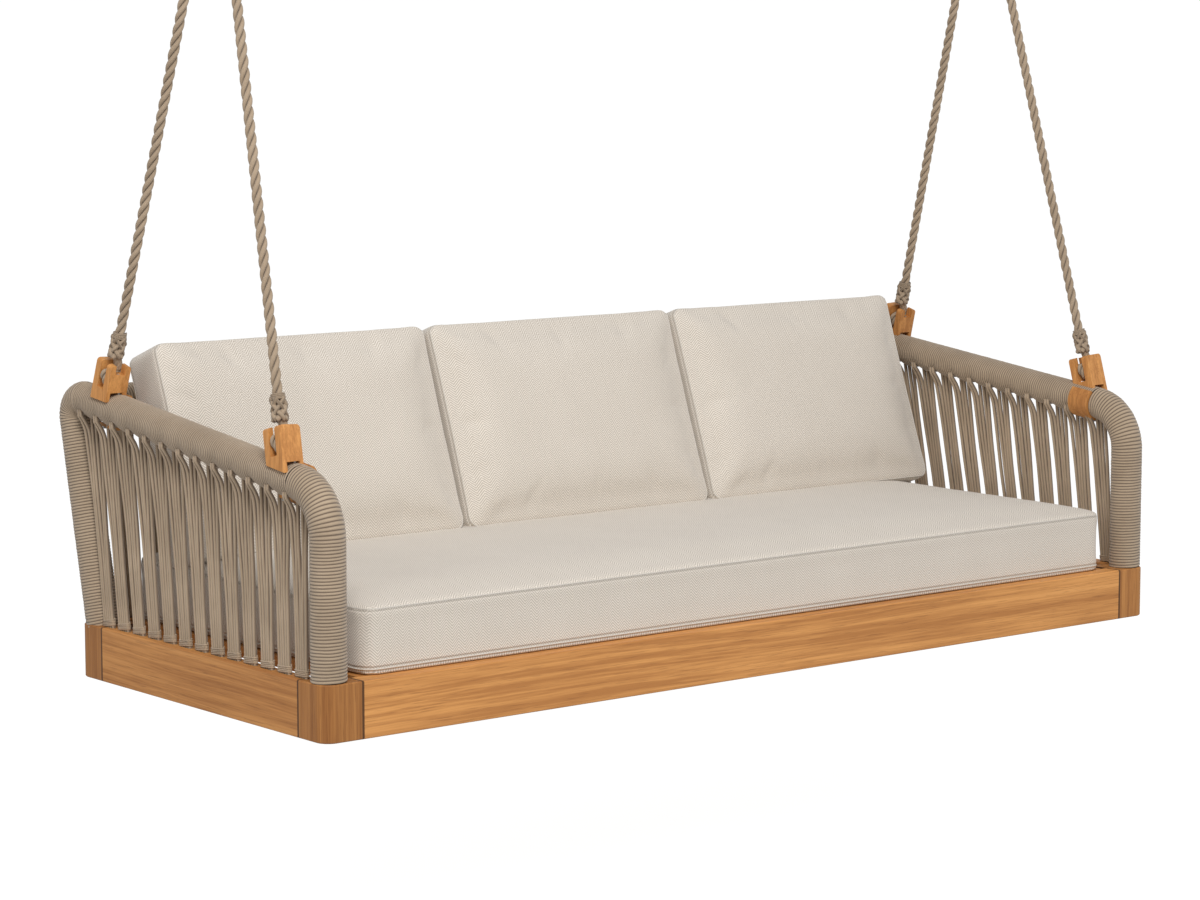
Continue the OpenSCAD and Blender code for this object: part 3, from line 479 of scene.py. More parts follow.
up_arm = Vector((0, math.cos(arm_slope), math.sin(arm_slope)))
up_back_leg = Vector((0, math.sin(back_lean), math.cos(back_lean)))
front_foot = Vector((leg_x, 0.033 - half_depth - mid_y, base_top))
back_foot = Vector((leg_x, half_depth - 0.035 - mid_y, base_top))
front_corner = front_foot + Vector((0, 0, arm_front_height - base_top))
arm_reach = (back_foot - front_corner).cross(up_back_leg).x / up_arm.cross(up_back_leg).x
back_corner = front_corner + arm_reach * up_arm


def bend_points(corner, ahead, away, radius):
    """Points round the bend where a line ahead turns away at a corner."""
    turn = ahead.angle(away)
    start = corner - radius * math.tan(turn / 2) * ahead
    centre = start + radius * (away - away.dot(ahead) * ahead).normalized()
    axis = ahead.cross(away).normalized()
    return [centre + Matrix.Rotation(turn * k / 24, 3, axis) @ (start - centre) for k in range(25)]


front_bend = bend_points(front_corner, Vector((0, 0, 1)), up_arm, front_bend_radius)
back_bend = bend_points(back_corner, up_back_leg, -up_arm, back_bend_radius)
back_rail = back_bend[12]


def wound_cord(length, number):
    """A flat cord wound close round Z, one ridge to a turn, with its UV and painted shade where the turns meet."""
    lots = round(length / turn_pitch / turns_at_once)
    pitch = length / lots / turns_at_once
    lot = bmesh.new()
    ridge = []
    for k in range(5):
        fall = 1 - math.sqrt(1 - (0.95 * (k / 2 - 1)) ** 2)
        ridge.append(lot.verts.new((wound_radius - turn_depth * fall, 0, pitch * (k / 4 - 0.5))))
    edges = [lot.edges.new(pair) for pair in zip(ridge, ridge[1:])]
    bmesh.ops.spin(lot, geom=ridge + edges, cent=(0, 0, 0), axis=(0, 0, 1), dvec=(0, 0, pitch / turn_steps),
                   angle=math.tau * turns_at_once, steps=turn_steps * turns_at_once, use_merge=False,
                   use_duplicate=False)
    mesh = bpy.data.meshes.new("lot")
    lot.to_mesh(mesh)
    lot.free()
    bm = bmesh.new()
    for _ in range(lots):
        bm.from_mesh(mesh)
        mesh.transform(Matrix.Translation((0, 0, pitch * turns_at_once)))
    bpy.data.meshes.remove(mesh)
    bmesh.ops.remove_doubles(bm, verts=bm.verts[:], dist=1e-5)
    bmesh.ops.recalc_face_normals(bm, faces=bm.faces[:])
    around = math.tau * wound_radius / pitch

    def along_and_across(vert):
        turn = vert.co.z / pitch + 0.5
        across = (turn - math.atan2(vert.co.y, vert.co.x) / math.tau) % 1.0
        return (turn - across) * around, across

    wrap_uv(bm, along_and_across, around)
    # Painted shade: each turn darkens towards its edges, where it meets the next.
    groove_shade = bm.verts.layers.float.new("groove_shade")
    for vert in bm.verts:
        vert[groove_shade] = abs(2 * along_and_across(vert)[1] - 1) ** 2.5
    for vert in bm.verts:
        spot = Vector((vert.co.x * 35, vert.co.y * 35, vert.co.z * 90 + 50 * number))
        vert.co.z += 0.0007 * noise.noise(spot)
        vert.co.xy = vert.co.xy * (1 + 0.012 * noise.noise(spot + Vector((9, 4, 0))))
    return bm


def draw_in(bm, heads):
    """Draws the lower half of an arm's turns in at each band's head."""
    for vert in bm.verts:
        nearest = min(abs(vert.co.z - head) for head in heads)
        below = max(0.0, 0.2 - vert.co.x / wound_radius)
        vert.co.xy = vert.co.xy * (1 - 0.13 * below * math.exp(-(nearest / 0.014) ** 2))
    return bm


wrap_cord = cord_material("wound_cord", (0.54, 0.412, 0.287), (0.37, 0.273, 0.180), (0.08, 0.053, 0.034))
for sign, side in ((-1, "left"), (1, "right")):
    mirrored = Matrix.Diagonal((sign, 1, 1))
    front_line = [mirrored @ point for point in [front_foot] + front_bend]
    back_line = [mirrored @ point for point in [back_foot - 0.008 * up_back_leg] + back_bend]
    arm_line = [front_line[-1], back_line[-1]]
    for number, (part, line) in enumerate((("front_leg", front_line), ("back_leg", back_line), ("arm", arm_line))):
        up = Vector((0, 0, 1)) if part == "arm" else Vector((1, 0, 0))
        place, run = run_along(line, up)
        turns = wound_cord(run, number + 3 * sign)
        if part == "arm":
            step = (last_head - first_head) / (side_bands - 1)
            draw_in(turns, [(first_head + i * step - line[0].y) / up_arm.y for i in range(side_bands)])
        finished(bent(turns, place), f"{side}_{part}_turns", wrap_cord, "bed", "cord", f"{side}_{part}_wrap")
rail_reach = leg_x - 0.030
rail_line = [Vector((x, back_rail.y, back_rail.z)) for x in (-rail_reach, rail_reach)]
place, run = run_along(rail_line, Vector((0, 0, 1)))
finished(bent(wound_cord(run, 9), place), "back_rail_turns", wrap_cord, "bed", "cord", "back_rail_wrap")

# ---- Strands ---------------------------------------------------------------------------------
# The sides and the back are bands of five flat braided cords, drawn tight from a bound foot on
# the rail up to the wound tube, where three go to one face of the tube and two to the other.
strand_width = 0.0080
strand_thickness = 0.0075
strand_spacing = 0.0075
strand_fan = 0.0052
strand_lean = 0.0060
strand_split = 0.070
strand_meets = math.radians(38)
strand_end = math.radians(56)
side_foot_x = 1.057
first_foot = 0.063 + front_foot.y
last_foot = back_foot.y - 0.051
back_foot_y = half_depth - 0.017 - mid_y
back_bands = 33
back_band_reach = 0.960


def strand_line(foot, head, out, k, seed):
    """The line of cord k of five: up in its row, then into the tube's underside or over its near face."""
    up = (head - foot).normalized()
    along = up.cross(out)
    run = (head - foot).length
    near = k > 2
    sideways = (k - 2) * strand_spacing
    points = []
    for step in range(18):
        s = (run - strand_split + 0.010) * step / 17 - 0.010
        share = max(0.0, s / run)
        slack = math.sin(math.pi * share)
        row = sideways + 0.0030 * slack * noise.noise(seed + Vector((0, 0, 2.2 * share)))
        row -= 0.0030 * near * share ** 2
        off = (strand_lean - strand_fan * k) * share ** 2 + 0.0020 * slack * noise.noise(seed + Vector((7, 2, 3.1 * share)))
        points.append(foot + s * up + row * along + off * out)
    beside = head + row * along
    if not near:
        return points + [beside + off * out - (strand_split + (0.027 - strand_split) * t / 4) * up for t in range(1, 5)]
    reach = wound_radius + strand_thickness / 2 - 0.0010
    across, below = reach * math.sin(strand_meets), reach * math.cos(strand_meets)
    for t in (0.25, 0.5, 0.75, 1.0):
        away = off - (across + off) * t ** 2
        points.append(beside + away * out - (below * t + strand_split * (1 - t)) * up)
    for step in range(1, 6):
        angle = strand_meets + (strand_end - strand_meets) * step / 5
        sunk = reach - 0.008 * (step / 5) ** 2
        points.append(beside - sunk * (math.sin(angle) * out + math.cos(angle) * up))
    return points


def strand_band(into, foot, head, out, number):
    """Five cords from the foot up to the tube, and the turns that bind the foot."""
    up = (head - foot).normalized()
    along = up.cross(out)
    for k in range(5):
        seed = Vector((number * 3.7, k * 5.3, 0))
        line = strand_line(foot, head, out, k, seed)
        place, length = run_along(line, along)
        cord = straight_cord(strand_width, strand_thickness, length, 40, 8)
        # Painted shade on each cord's flanks, between the cords of a band.
        layer = cord.verts.layers.float["groove_shade"]
        for vert in cord.verts:
            vert[layer] = 0.85 * abs(2 * vert.co.x / strand_width) ** 4
        joined(into, bent(cord, place))
    half_width = 2 * strand_spacing + 0.0046
    half_thickness = 0.0046
    turns = 4.5
    line = []
    for k in range(round(16 * turns) + 1):
        angle = math.tau * k / 16
        c, s = math.cos(angle), math.sin(angle)
        line.append(foot + (0.0014 + 0.0031 * k / 16) * up + half_width * math.copysign(abs(c) ** 0.5, c) * along
                    + half_thickness * math.copysign(abs(s) ** 0.7, s) * out)
    place, length = run_along(line, up)
    joined(into, bent(straight_cord(0.0033, 0.0030, length, 3 * len(line) // 2, 6), place))


strand_cord = cord_material("strand_cord", (0.51, 0.385, 0.264), (0.337, 0.246, 0.160), (0.09, 0.060, 0.040))
for sign, side in ((-1, "left"), (1, "right")):
    bm = bmesh.new()
    for i in range(side_bands):
        share = i / (side_bands - 1)
        foot_y = first_foot + share * (last_foot - first_foot)
        head_y = first_head + share * (last_head - first_head)
        head_z = arm_front_height + (head_y - front_foot.y) * math.tan(arm_slope)
        strand_band(bm, Vector((sign * side_foot_x, foot_y, base_top)), Vector((sign * leg_x, head_y, head_z)),
                    Vector((1, 0, 0)), i + 20 * sign)
    finished(bm, f"{side}_side_cords", strand_cord, "bed", "cord", f"{side}_side_strands")
bm = bmesh.new()
for i in range(back_bands):
    x = back_band_reach * (2 * i / (back_bands - 1) - 1)
    lean = (back_rail - Vector((0, back_foot_y, base_top))).yz.normalized()
    strand_band(bm, Vector((x, back_foot_y, base_top)), Vector((x, back_rail.y, back_rail.z)),
                Vector((0, lean.y, -lean.x)), i + 60)
finished(bm, "back_cords", strand_cord, "bed", "cord", "back_strands")

# ---- Cushions --------------------------------------------------------------------------------
# Foam in herringbone covers: one long box cushion on the slats, and three box cushions that stand
# on it and lean on the back rail. Panels and side strips meet in thin turned seams.
seat_half_width = 0.976
seat_front = 0.020 - half_depth - mid_y
seat_rear = 0.3975 - mid_y
seat_seam = 0.231
seat_crown = 0.252
cushion_width = 0.655
cushion_height = 0.446
cushion_side = 0.114
cushion_lean = math.radians(19.8)
cushion_foot = Vector((0, 0.141 - mid_y, seat_crown))
seam_radius = 0.0013

# Herringbone: fine slanted ribs that change direction from one stripe to the next.
herringbone, h_nodes, h_in, h_out = new_group(
    "herringbone",
    [("UV in metres", "NodeSocketVector", None), ("Object place", "NodeSocketVector", None)],
    [("Height", "NodeSocketFloat"), ("Shade", "NodeSocketFloat")],
)
apart = h_nodes.new("ShaderNodeSeparateXYZ")
herringbone.links.new(h_in.outputs[0], apart.inputs[0])
zigzag = math_of(h_nodes, "PINGPONG", apart.outputs["X"], 0.014)
ribs = math_of(h_nodes, "SINE", math_of(h_nodes, "MULTIPLY", math_of(h_nodes, "ADD", apart.outputs["Y"], zigzag), math.tau / 0.0055))
threads = noise_of(h_nodes, mapped(h_nodes, h_in.outputs[0], (260, 620, 400)), 1.0, 3)
cloudy = noise_of(h_nodes, h_in.outputs[1], 9, 3)
height = math_of(h_nodes, "ADD", math_of(h_nodes, "MULTIPLY", ribs, 0.35), math_of(h_nodes, "MULTIPLY", threads, 0.7))
shade = math_of(h_nodes, "ADD", math_of(h_nodes, "MULTIPLY", ribs, 0.34), math_of(h_nodes, "MULTIPLY", threads, 0.75))
shade = math_of(h_nodes, "ADD", shade, math_of(h_nodes, "MULTIPLY", cloudy, 0.12))
herringbone.links.new(height, h_out.inputs["Height"])
herringbone.links.new(shade, h_out.inputs["Shade"])


def near_planes(nodes, vector, planes, reach):
    """A mask that is 1 on each plane of (axis, place) and falls to 0 at its reach."""
    parts = nodes.new("ShaderNodeSeparateXYZ")
    nodes.id_data.links.new(vector, parts.inputs[0])
    mask = 0.0
    for axis, at in planes:
        away = math_of(nodes, "ABSOLUTE", math_of(nodes, "SUBTRACT", parts.outputs[axis], at))
        near = math_of(nodes, "MAXIMUM", math_of(nodes, "SUBTRACT", 1.0, math_of(nodes, "DIVIDE", away, reach)), 0.0)
        mask = math_of(nodes, "MAXIMUM", mask, near)
    return mask


def cover(name, into_frame, seams):
    """Herringbone cover; seams are dents at (axis, place) in the cushion's own frame, bumped in and darkened with
    painted shade.
    """
    made, nodes, links, shader = new_material(name, Roughness=0.92, Sheen_Weight=0.3, Sheen_Roughness=0.5)
    place = nodes.new("ShaderNodeTexCoord")
    weave = placed_group(nodes, herringbone, UV_in_metres=place.outputs["UV"], Object_place=place.outputs["Object"])
    local = mapped(nodes, place.outputs["Object"], (1, 1, 1), into_frame.to_translation(), into_frame.to_euler())
    dent_and_painted_shade = near_planes(nodes, local, seams, 0.0030)
    tone = ramp(nodes, weave["Shade"], [(0.10, (0.49, 0.432, 0.363)), (0.80, (0.85, 0.782, 0.697))])
    # Painted shade: the cover is darkened in the seam dents; the same mask also bumps them in.
    links.new(mixed(nodes, math_of(nodes, "MULTIPLY", dent_and_painted_shade, 0.45), tone, (0.40, 0.35, 0.29)), shader.inputs["Base Color"])
    height = math_of(nodes, "SUBTRACT", math_of(nodes, "MULTIPLY", weave["Height"], 0.3), math_of(nodes, "MULTIPLY", dent_and_painted_shade, 2.0))
    bump_into(nodes, shader, height, 0.7, 0.0012)
    return made


def object_of(bm, name):
    """Makes the bmesh a plain object."""
    mesh = bpy.data.meshes.new(name)
    bm.to_mesh(mesh)
    bm.free()
    made = bpy.data.objects.new(name, mesh)
    bpy.context.scene.collection.objects.link(made)
    return made


def settled(obj):
    """Applies the object's modifiers to its mesh."""
    bpy.context.view_layer.update()
    mesh = bpy.data.meshes.new_from_object(obj.evaluated_get(bpy.context.evaluated_depsgraph_get()))
    obj.modifiers.clear()
    obj.data = mesh
    return mesh


def block_of(low, high, axis, corner, edge):
    """A box whose edges along one axis have the corner's radius, and the others the edge's."""
    bm = bmesh.new()
    bmesh.ops.create_cube(bm, size=1)
    bm.transform(Matrix.Translation((low + high) / 2) @ Matrix.Diagonal((*(high - low), 1)))
    for radius, chosen, segments in ((corner, True, 5), (edge, False, 2)):
        edges = [e for e in bm.edges if (abs((e.verts[0].co - e.verts[1].co)[axis]) > 1e-6) == chosen]
        bmesh.ops.bevel(bm, geom=edges, offset=radius, segments=segments, profile=0.5, affect="EDGES", material=-1)
    return bm


def swell(inside, reach, least, most):
    """How far a panel may swell, from its seam inwards."""
    return least + (most - least) * math.sin(math.pi / 2 * min(1.0, max(0.0, inside / reach)))


def puffed(bm, name, grid, form, limit):
    """A soft pad: the block remeshed, formed, blown up as cloth, and held to a limit at each point."""
    pad = object_of(bm, name)
    even = pad.modifiers.new("even", "REMESH")
    even.mode = "VOXEL"
    even.voxel_size = grid
    mesh = settled(pad)
    for vert in mesh.vertices:
        vert.co = form(vert.co)
    start = [vert.co.copy() for vert in mesh.vertices]
    cloth = pad.modifiers.new("cloth", "CLOTH")
    cloth.settings.use_pressure = True
    cloth.settings.uniform_pressure_force = 4
    cloth.settings.effector_weights.gravity = 0
    cloth.point_cache.frame_end = 20
    for number in range(1, 21):
        bpy.context.scene.frame_set(number)
    mesh = settled(pad)
    bpy.context.scene.frame_set(1)
    for vert, first in zip(mesh.vertices, start):
        move = vert.co - first
        most = limit(first)
        if move.length > most:
            vert.co = first + most * move.normalized()
    soft = bmesh.new()
    soft.from_mesh(mesh)
    for _ in range(2):
        bmesh.ops.smooth_vert(soft, verts=soft.verts[:], factor=0.5, use_axis_x=True, use_axis_y=True, use_axis_z=True)
    soft.to_mesh(mesh)
    soft.free()
    finer = pad.modifiers.new("finer", "SUBSURF")
    finer.levels = 1
    finer.render_levels = 1
    settled(pad)
    return pad


def seam_round(pad, at, across, name):
    """A thin turned seam that follows the pad's surface where a plane cuts it."""
    bm = bmesh.new()
    bm.from_mesh(pad.data)
    cut = bmesh.ops.bisect_plane(bm, geom=bm.verts[:] + bm.edges[:] + bm.faces[:], plane_co=at, plane_no=across)
    edges = {e for e in cut["geom_cut"] if isinstance(e, bmesh.types.BMEdge)}
    first = next(iter(sorted(edges, key=lambda e: e.index))).verts[0]
    line = [first.co.copy()]
    here = first
    while True:
        ahead = next((e for e in here.link_edges if e in edges), None)
        if ahead is None:
            break
        edges.discard(ahead)
        here = ahead.other_vert(here)
        line.append(here.co.copy())
    bm.free()
    line = line[:-1:2] + line[-1:]
    place, run = run_along(line, across)
    return bent(straight_cord(2 * seam_radius, 2 * seam_radius, run, len(line), 6), place)


def lay_cloth(pad, into_frame, strips):
    """Gives the cover a UV map in metres, by panel: strips(x, y, z) names the axis a face looks along."""
    bm = bmesh.new()
    bm.from_mesh(pad.data)
    layer = bm.loops.layers.uv.verify()
    for face in bm.faces:
        face.smooth = True
        axis = strips(into_frame @ face.calc_center_median(), into_frame.to_3x3() @ face.normal)
        for loop in face.loops:
            x, y, z = into_frame @ loop.vert.co
            loop[layer].uv = {"x": (y, z), "y": (x, z), "z": (x, y)}[axis]
    bm.to_mesh(pad.data)
    bm.free()


def finished_pad(pad, name, material, node, seams):
    """Dresses the pad and its seams, and hands them over for the CAD node."""
    pad.data.materials.clear()
    pad.data.materials.append(material)
    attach(pad, "bed")
    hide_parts(node)
    welts = bmesh.new()
    for seam in seams:
        joined(welts, seam)
    finished(welts, f"{name}_seams", seam_cloth, "bed", "cloth")


seam_cloth = cord_material("seam_cloth", (0.74, 0.69, 0.62), (0.64, 0.59, 0.52), (0.45, 0.40, 0.34))

low = Vector((-seat_half_width + 0.005, seat_front + 0.005, base_top + 0.001))
high = Vector((seat_half_width - 0.005, seat_rear - 0.004, seat_seam + 0.003))


def seat_form(co):
    """The seat before it is blown up: flat on the slats, with a slight crown."""
    u = co.x / seat_half_width
    v = 2 * (co.y - seat_front) / (seat_rear - seat_front) - 1
    share = max(0.0, (co.z - base_top - 0.09) / (seat_seam - base_top - 0.09))
    height = base_top + 0.0005 if co.z < base_top + 0.006 else co.z
    return Vector((co.x, co.y, height + 0.006 * share * (1 - u ** 8) * (1 - v ** 4)))


def seat_limit(co):
    """The seat's base stays flat, its sides swell a little, and its top more towards the middle."""
    if co.z < base_top + 0.008:
        return 0.0
    if co.z < seat_seam - 0.004:
        return swell(min(co.z - base_top, seat_seam - co.z), 0.04, 0.001, 0.006)
    return swell(min(seat_half_width - abs(co.x), co.y - seat_front, seat_rear - co.y), 0.16, 0.003, 0.016)


straight = Matrix.Identity(4)
seat = puffed(block_of(low, high, 2, 0.030, 0.009), "seat_pad", 0.010, seat_form, seat_limit)
lay_cloth(seat, straight, lambda at, normal: "z" if at.z > seat_seam - 0.003 or at.z < base_top + 0.010
          else ("x" if abs(normal.x) > abs(normal.y) else "y"))
seat_seams = [seam_round(seat, Vector((0, 0, z)), Vector((0, 0, 1)), "seat") for z in (seat_seam - 0.004, base_top + 0.011)]
finished_pad(seat, "seat", cover("seat_cover", straight, [("Z", seat_seam - 0.008), ("Z", base_top + 0.0145), ("Z", base_top + 0.0075)]),
             "seat_cushion", seat_seams)

half = cushion_width / 2 - 0.0005


def back_form(co):
    """A back cushion before it is blown up: full in the middle, drawn in between its corners."""
    u = co.x / half
    v = 2 * co.z / cushion_height - 1
    middle = (1 - u ** 2) * (1 - v ** 4)
    front = 1 - min(1.0, max(0.0, co.y / cushion_side))
    x = co.x - 0.002 * u * (1 - v ** 2)
    y = co.y - 0.010 * front * middle + 0.034 * (1 - front) * middle
    return into_place @ Vector((x, y, co.z))


def back_limit(co):
    """Front and rear panels swell from their seams towards the middle, the strips between them a little."""
    local = out_of_place @ co
    if local.z < 0.006:
        return 0.001
    inside = min(half - abs(local.x), local.z, cushion_height - local.z)
    if local.y < 0.008:
        return swell(inside, 0.13, 0.003, 0.024)
    if local.y > cushion_side - 0.006:
        return swell(inside, 0.13, 0.003, 0.030)
    return 0.006 if local.z > cushion_height - 0.02 else 0.002


for number, side in ((-1, "left"), (0, "middle"), (1, "right")):
    into_place = Matrix.Translation(cushion_foot + Vector((number * cushion_width, 0, 0))) @ Matrix.Rotation(-cushion_lean, 4, "X")
    out_of_place = into_place.inverted()
    low = Vector((-half + 0.002, 0.002, 0.001))
    high = Vector((half - 0.002, cushion_side, cushion_height - 0.006))
    bm = block_of(low, high, 1, 0.020, 0.005)
    pad = puffed(bm, f"{side}_back_pad", 0.0075, back_form, back_limit)
    lay_cloth(pad, out_of_place, lambda at, normal: "y" if at.y < 0.008 or at.y > cushion_side - 0.008
              else ("x" if abs(normal.x) > abs(normal.z) else "z"))
    across = into_place.to_3x3() @ Vector((0, 1, 0))
    seams = [seam_round(pad, into_place @ Vector((0, y, 0.2)), across, side) for y in (0.007, cushion_side - 0.006)]
    finished_pad(pad, f"{side}_back", cover(f"{side}_back_cover", out_of_place, [("Y", 0.0100), ("Y", cushion_side - 0.0090)]),
                 f"{side}_back_cushion", seams)

# ---- Teak ------------------------------------------------------------------------------------
# Oiled teak: straight grain along each board, fine dark pores, slow changes of tone.
grain, g_nodes, g_in, g_out = new_group(
    "teak_grain",
    [("Vector", "NodeSocketVector", None)],
    [("Color", "NodeSocketColor"), ("Height", "NodeSocketFloat"), ("Roughness", "NodeSocketFloat")],
)
board = g_in.outputs["Vector"]
bends = noise_of(g_nodes, mapped(g_nodes, board, (1.2, 5, 5)), 1.0, 2)
bent_board = g_nodes.new("ShaderNodeVectorMath")
bent_board.operation = "MULTIPLY_ADD"
grain.links.new(bends, bent_board.inputs[0])
bent_board.inputs[1].default_value = (0, 0.03, 0.03)
grain.links.new(board, bent_board.inputs[2])
rings = noise_of(g_nodes, mapped(g_nodes, bent_board.outputs[0], (0.6, 78, 78)), 1.0, 5, 0.55)
streaks = noise_of(g_nodes, mapped(g_nodes, bent_board.outputs[0], (5, 260, 260)), 1.0, 3, 0.6)
slow = noise_of(g_nodes, mapped(g_nodes, board, (1.6, 9, 9), place=(3, 1, 2)), 1.0, 2)
pores = noise_of(g_nodes, mapped(g_nodes, board, (18, 700, 700)), 1.0, 2)
tone = math_of(g_nodes, "ADD", math_of(g_nodes, "MULTIPLY", rings, 0.65), math_of(g_nodes, "MULTIPLY", slow, 0.45))
tone = math_of(g_nodes, "ADD", tone, math_of(g_nodes, "MULTIPLY", streaks, 0.45))
figure = ramp(g_nodes, tone, [(0.46, (0.82, 0.405, 0.135)), (0.66, (0.72, 0.335, 0.102)), (0.88, (0.48, 0.200, 0.056))])
pore_mask = ramp(g_nodes, pores, [(0.30, (1, 1, 1)), (0.42, (0, 0, 0))])
grain.links.new(mixed(g_nodes, math_of(g_nodes, "MULTIPLY", pore_mask, 0.45), figure, (0.26, 0.10, 0.03)), g_out.inputs["Color"])
grain.links.new(math_of(g_nodes, "SUBTRACT", streaks, math_of(g_nodes, "MULTIPLY", pore_mask, 0.8)), g_out.inputs["Height"])
grain.links.new(math_of(g_nodes, "ADD", math_of(g_nodes, "MULTIPLY", rings, 0.25), 0.36), g_out.inputs["Roughness"])


def teak(name, turn, shift, shade, joints):
    """Teak whose grain runs along the board, which turn brings onto X, with painted shade lines for the gaps at its
    joints.
    """
    made, nodes, links, shader = new_material(name, Specular_IOR_Level=0.3)
    place = nodes.new("ShaderNodeTexCoord").outputs["Object"]
    turned = mapped(nodes, place, (1, 1, 1), turn=turn)
    wood = placed_group(nodes, grain, Vector=mapped(nodes, turned, (1, 1, 1), place=shift))
    # Shade scales the wood's colour: partly painted light and shade for how the light falls on a board, partly the
    # board's own tone.
    tone = mixed(nodes, 1.0, wood["Color"], (shade, shade ** 1.15, shade ** 1.3), "MULTIPLY")
    # Painted shade: dark lines on the planes of the joints, for the shadow in the gaps between boards.
    line = math_of(nodes, "MINIMUM", math_of(nodes, "MULTIPLY", near_planes(nodes, place, joints, 0.0030), 2.5), 0.9)
    links.new(mixed(nodes, line, tone, (0.06, 0.025, 0.010)), shader.inputs["Base Color"])
    links.new(wood["Roughness"], shader.inputs["Roughness"])
    bump_into(nodes, shader, wood["Height"], 0.25, 0.0006)
    return made


def give(node, material):
    """Puts the material on a CAD node, which keeps its shape."""
    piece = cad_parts[node]
    piece.data.materials.clear()
    piece.data.materials.append(material)


grain_along = {"x": (0, 0, 0), "y": (0, 0, math.radians(-90)), "z": (0, math.radians(90), 0)}
end_joints = [("X", -0.991), ("X", 0.991)]
side_joints = [("Y", 0.084 - half_depth - mid_y), ("Y", half_depth - 0.084 - mid_y)]
# The second number scales a board's colour. It is partly painted shade, as on the darker blocks and left side rail
# where less light falls, and partly a board's own tone.
boards = {
    "front_rail": ("x", 1.04), "rear_rail": ("x", 0.95), "left_side_rail": ("y", 0.82), "right_side_rail": ("y", 0.95),
    "front_left_block": ("z", 0.60), "front_right_block": ("z", 0.76), "rear_left_block": ("z", 0.60),
    "rear_right_block": ("z", 0.76), "front_ledger": ("x", 0.9), "rear_ledger": ("x", 0.9), "seat_slats": ("y", 0.95),
    "front_left_hanger": ("z", 1.0), "front_right_hanger": ("z", 1.0), "back_left_hanger": ("z", 0.97),
    "back_right_hanger": ("z", 0.97), "front_left_collar": ("z", 0.85), "front_right_collar": ("z", 0.85),
    "back_left_collar": ("z", 0.85), "back_right_collar": ("z", 0.85),
}
for number, (node, (along, shade)) in enumerate(boards.items()):
    joints = {"rail": end_joints if along == "x" else side_joints, "lock": end_joints + side_joints}.get(node[-4:], [])
    shift = (1.7 * number, 0.61 * number, 0.37 * number)
    give(node, teak(f"teak_{node}", grain_along[along], shift, shade, joints))

# ---- Metal -----------------------------------------------------------------------------------
brushed, nodes, links, shader = new_material("stainless_steel", Metallic=1.0)
place = nodes.new("ShaderNodeTexCoord").outputs["Object"]
scuffs = noise_of(nodes, mapped(nodes, place, (60, 60, 900)), 1.0, 3)
links.new(ramp(nodes, scuffs, [(0.3, (0.42, 0.42, 0.41)), (0.7, (0.62, 0.62, 0.60))]), shader.inputs["Base Color"])
links.new(math_of(nodes, "ADD", math_of(nodes, "MULTIPLY", scuffs, 0.3), 0.2), shader.inputs["Roughness"])
black, nodes, links, shader = new_material("black_powder_coat")
place = nodes.new("ShaderNodeTexCoord").outputs["Object"]
orange_peel = noise_of(nodes, place, 900, 2)
links.new(ramp(nodes, orange_peel, [(0.3, (0.020, 0.020, 0.021)), (0.7, (0.032, 0.031, 0.030))]), shader.inputs["Base Color"])
links.new(math_of(nodes, "ADD", math_of(nodes, "MULTIPLY", orange_peel, 0.2), 0.38), shader.inputs["Roughness"])
bump_into(nodes, shader, orange_peel, 0.15, 0.0002)
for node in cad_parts:
    if node.endswith("_tube"):
        give(node, brushed)
    elif node in ("rope_pins", "hanger_screws") or node.endswith(("upper_pin", "swing_pin")):
        give(node, brushed)
    elif node.endswith(("swivel", "ceiling_bracket")):
        give(node, black)

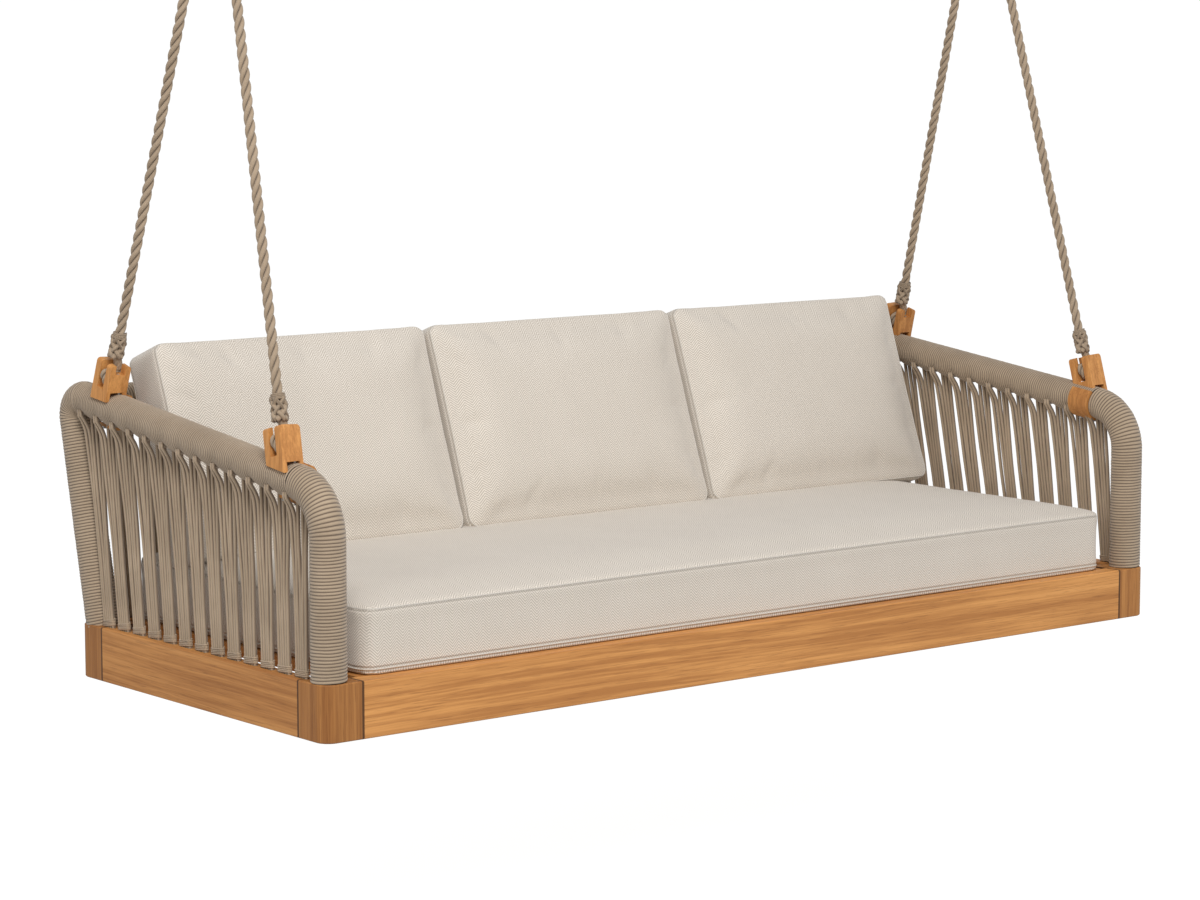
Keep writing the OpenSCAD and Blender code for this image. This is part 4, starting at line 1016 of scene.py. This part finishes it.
# ---- Studio ----------------------------------------------------------------------------------
# A white sweep far below and behind the hanging bed, a broad soft light from the upper left and
# two weak fills.
white, nodes, links, shader = new_material("white_sweep", Roughness=0.9)
shader.inputs["Base Color"].default_value = (0.12, 0.12, 0.12, 1)
shader.inputs["Emission Color"].default_value = (1, 1, 1, 1)
rays = nodes.new("ShaderNodeLightPath").outputs["Is Camera Ray"]
links.new(math_of(nodes, "ADD", math_of(nodes, "MULTIPLY", rays, 0.50), 0.45), shader.inputs["Emission Strength"])
bm = bmesh.new()
profile = [bm.verts.new((-30, -14, -0.42)), bm.verts.new((-30, 9, -0.42))]
edges = [bm.edges.new(profile)]
for k in range(1, 13):
    angle = math.pi / 2 * k / 12
    profile.append(bm.verts.new((-30, 9 + 3 * math.sin(angle), -0.42 + 3 * (1 - math.cos(angle)))))
    edges.append(bm.edges.new(profile[-2:]))
profile.append(bm.verts.new((-30, 12, 14)))
edges.append(bm.edges.new(profile[-2:]))
swept = bmesh.ops.extrude_edge_only(bm, edges=edges)
bmesh.ops.translate(bm, verts=[v for v in swept["geom"] if isinstance(v, bmesh.types.BMVert)], vec=(60, 0, 0))
bmesh.ops.rotate(bm, verts=bm.verts[:], cent=(0, 0, 0), matrix=Matrix.Rotation(math.radians(-39), 3, "Z"))
bmesh.ops.recalc_face_normals(bm, faces=bm.faces[:])
mesh = bpy.data.meshes.new("sweep")
for face in bm.faces:
    face.smooth = True
bm.to_mesh(mesh)
bm.free()
sweep = bpy.data.objects.new("sweep", mesh)
mesh.materials.append(white)
bpy.context.scene.collection.objects.link(sweep)


def soft_light(name, place, target, size, power):
    """A square light that faces its target."""
    data = bpy.data.lights.new(name, "AREA")
    data.shape = "SQUARE"
    data.size = size
    data.energy = power
    light = bpy.data.objects.new(name, data)
    light.location = place
    light.rotation_euler = (Vector(target) - Vector(place)).to_track_quat("-Z", "Y").to_euler()
    bpy.context.scene.collection.objects.link(light)


soft_light("key_light", (-3.2, -4.5, 5.4), (0, 0, 0.3), 3.0, 345)
soft_light("left_fill_light", (-6.0, -1.0, 2.5), (0, 0, 0.3), 4.0, 50)
soft_light("right_fill_light", (4.5, -6.0, 3.0), (0.6, 0, 0.3), 4.0, 75)
world = bpy.data.worlds.new("world")
world.use_nodes = True
nodes = world.node_tree.nodes
sky = nodes["Background"]
sky.inputs["Color"].default_value = (1, 1, 1, 1)
rays = nodes.new("ShaderNodeLightPath").outputs["Is Camera Ray"]
strength = math_of(nodes, "ADD", math_of(nodes, "MULTIPLY", rays, 0.64), 0.36)
world.node_tree.links.new(strength, sky.inputs["Strength"])
bpy.context.scene.world = world
bpy.context.scene.view_settings.view_transform = "Standard"
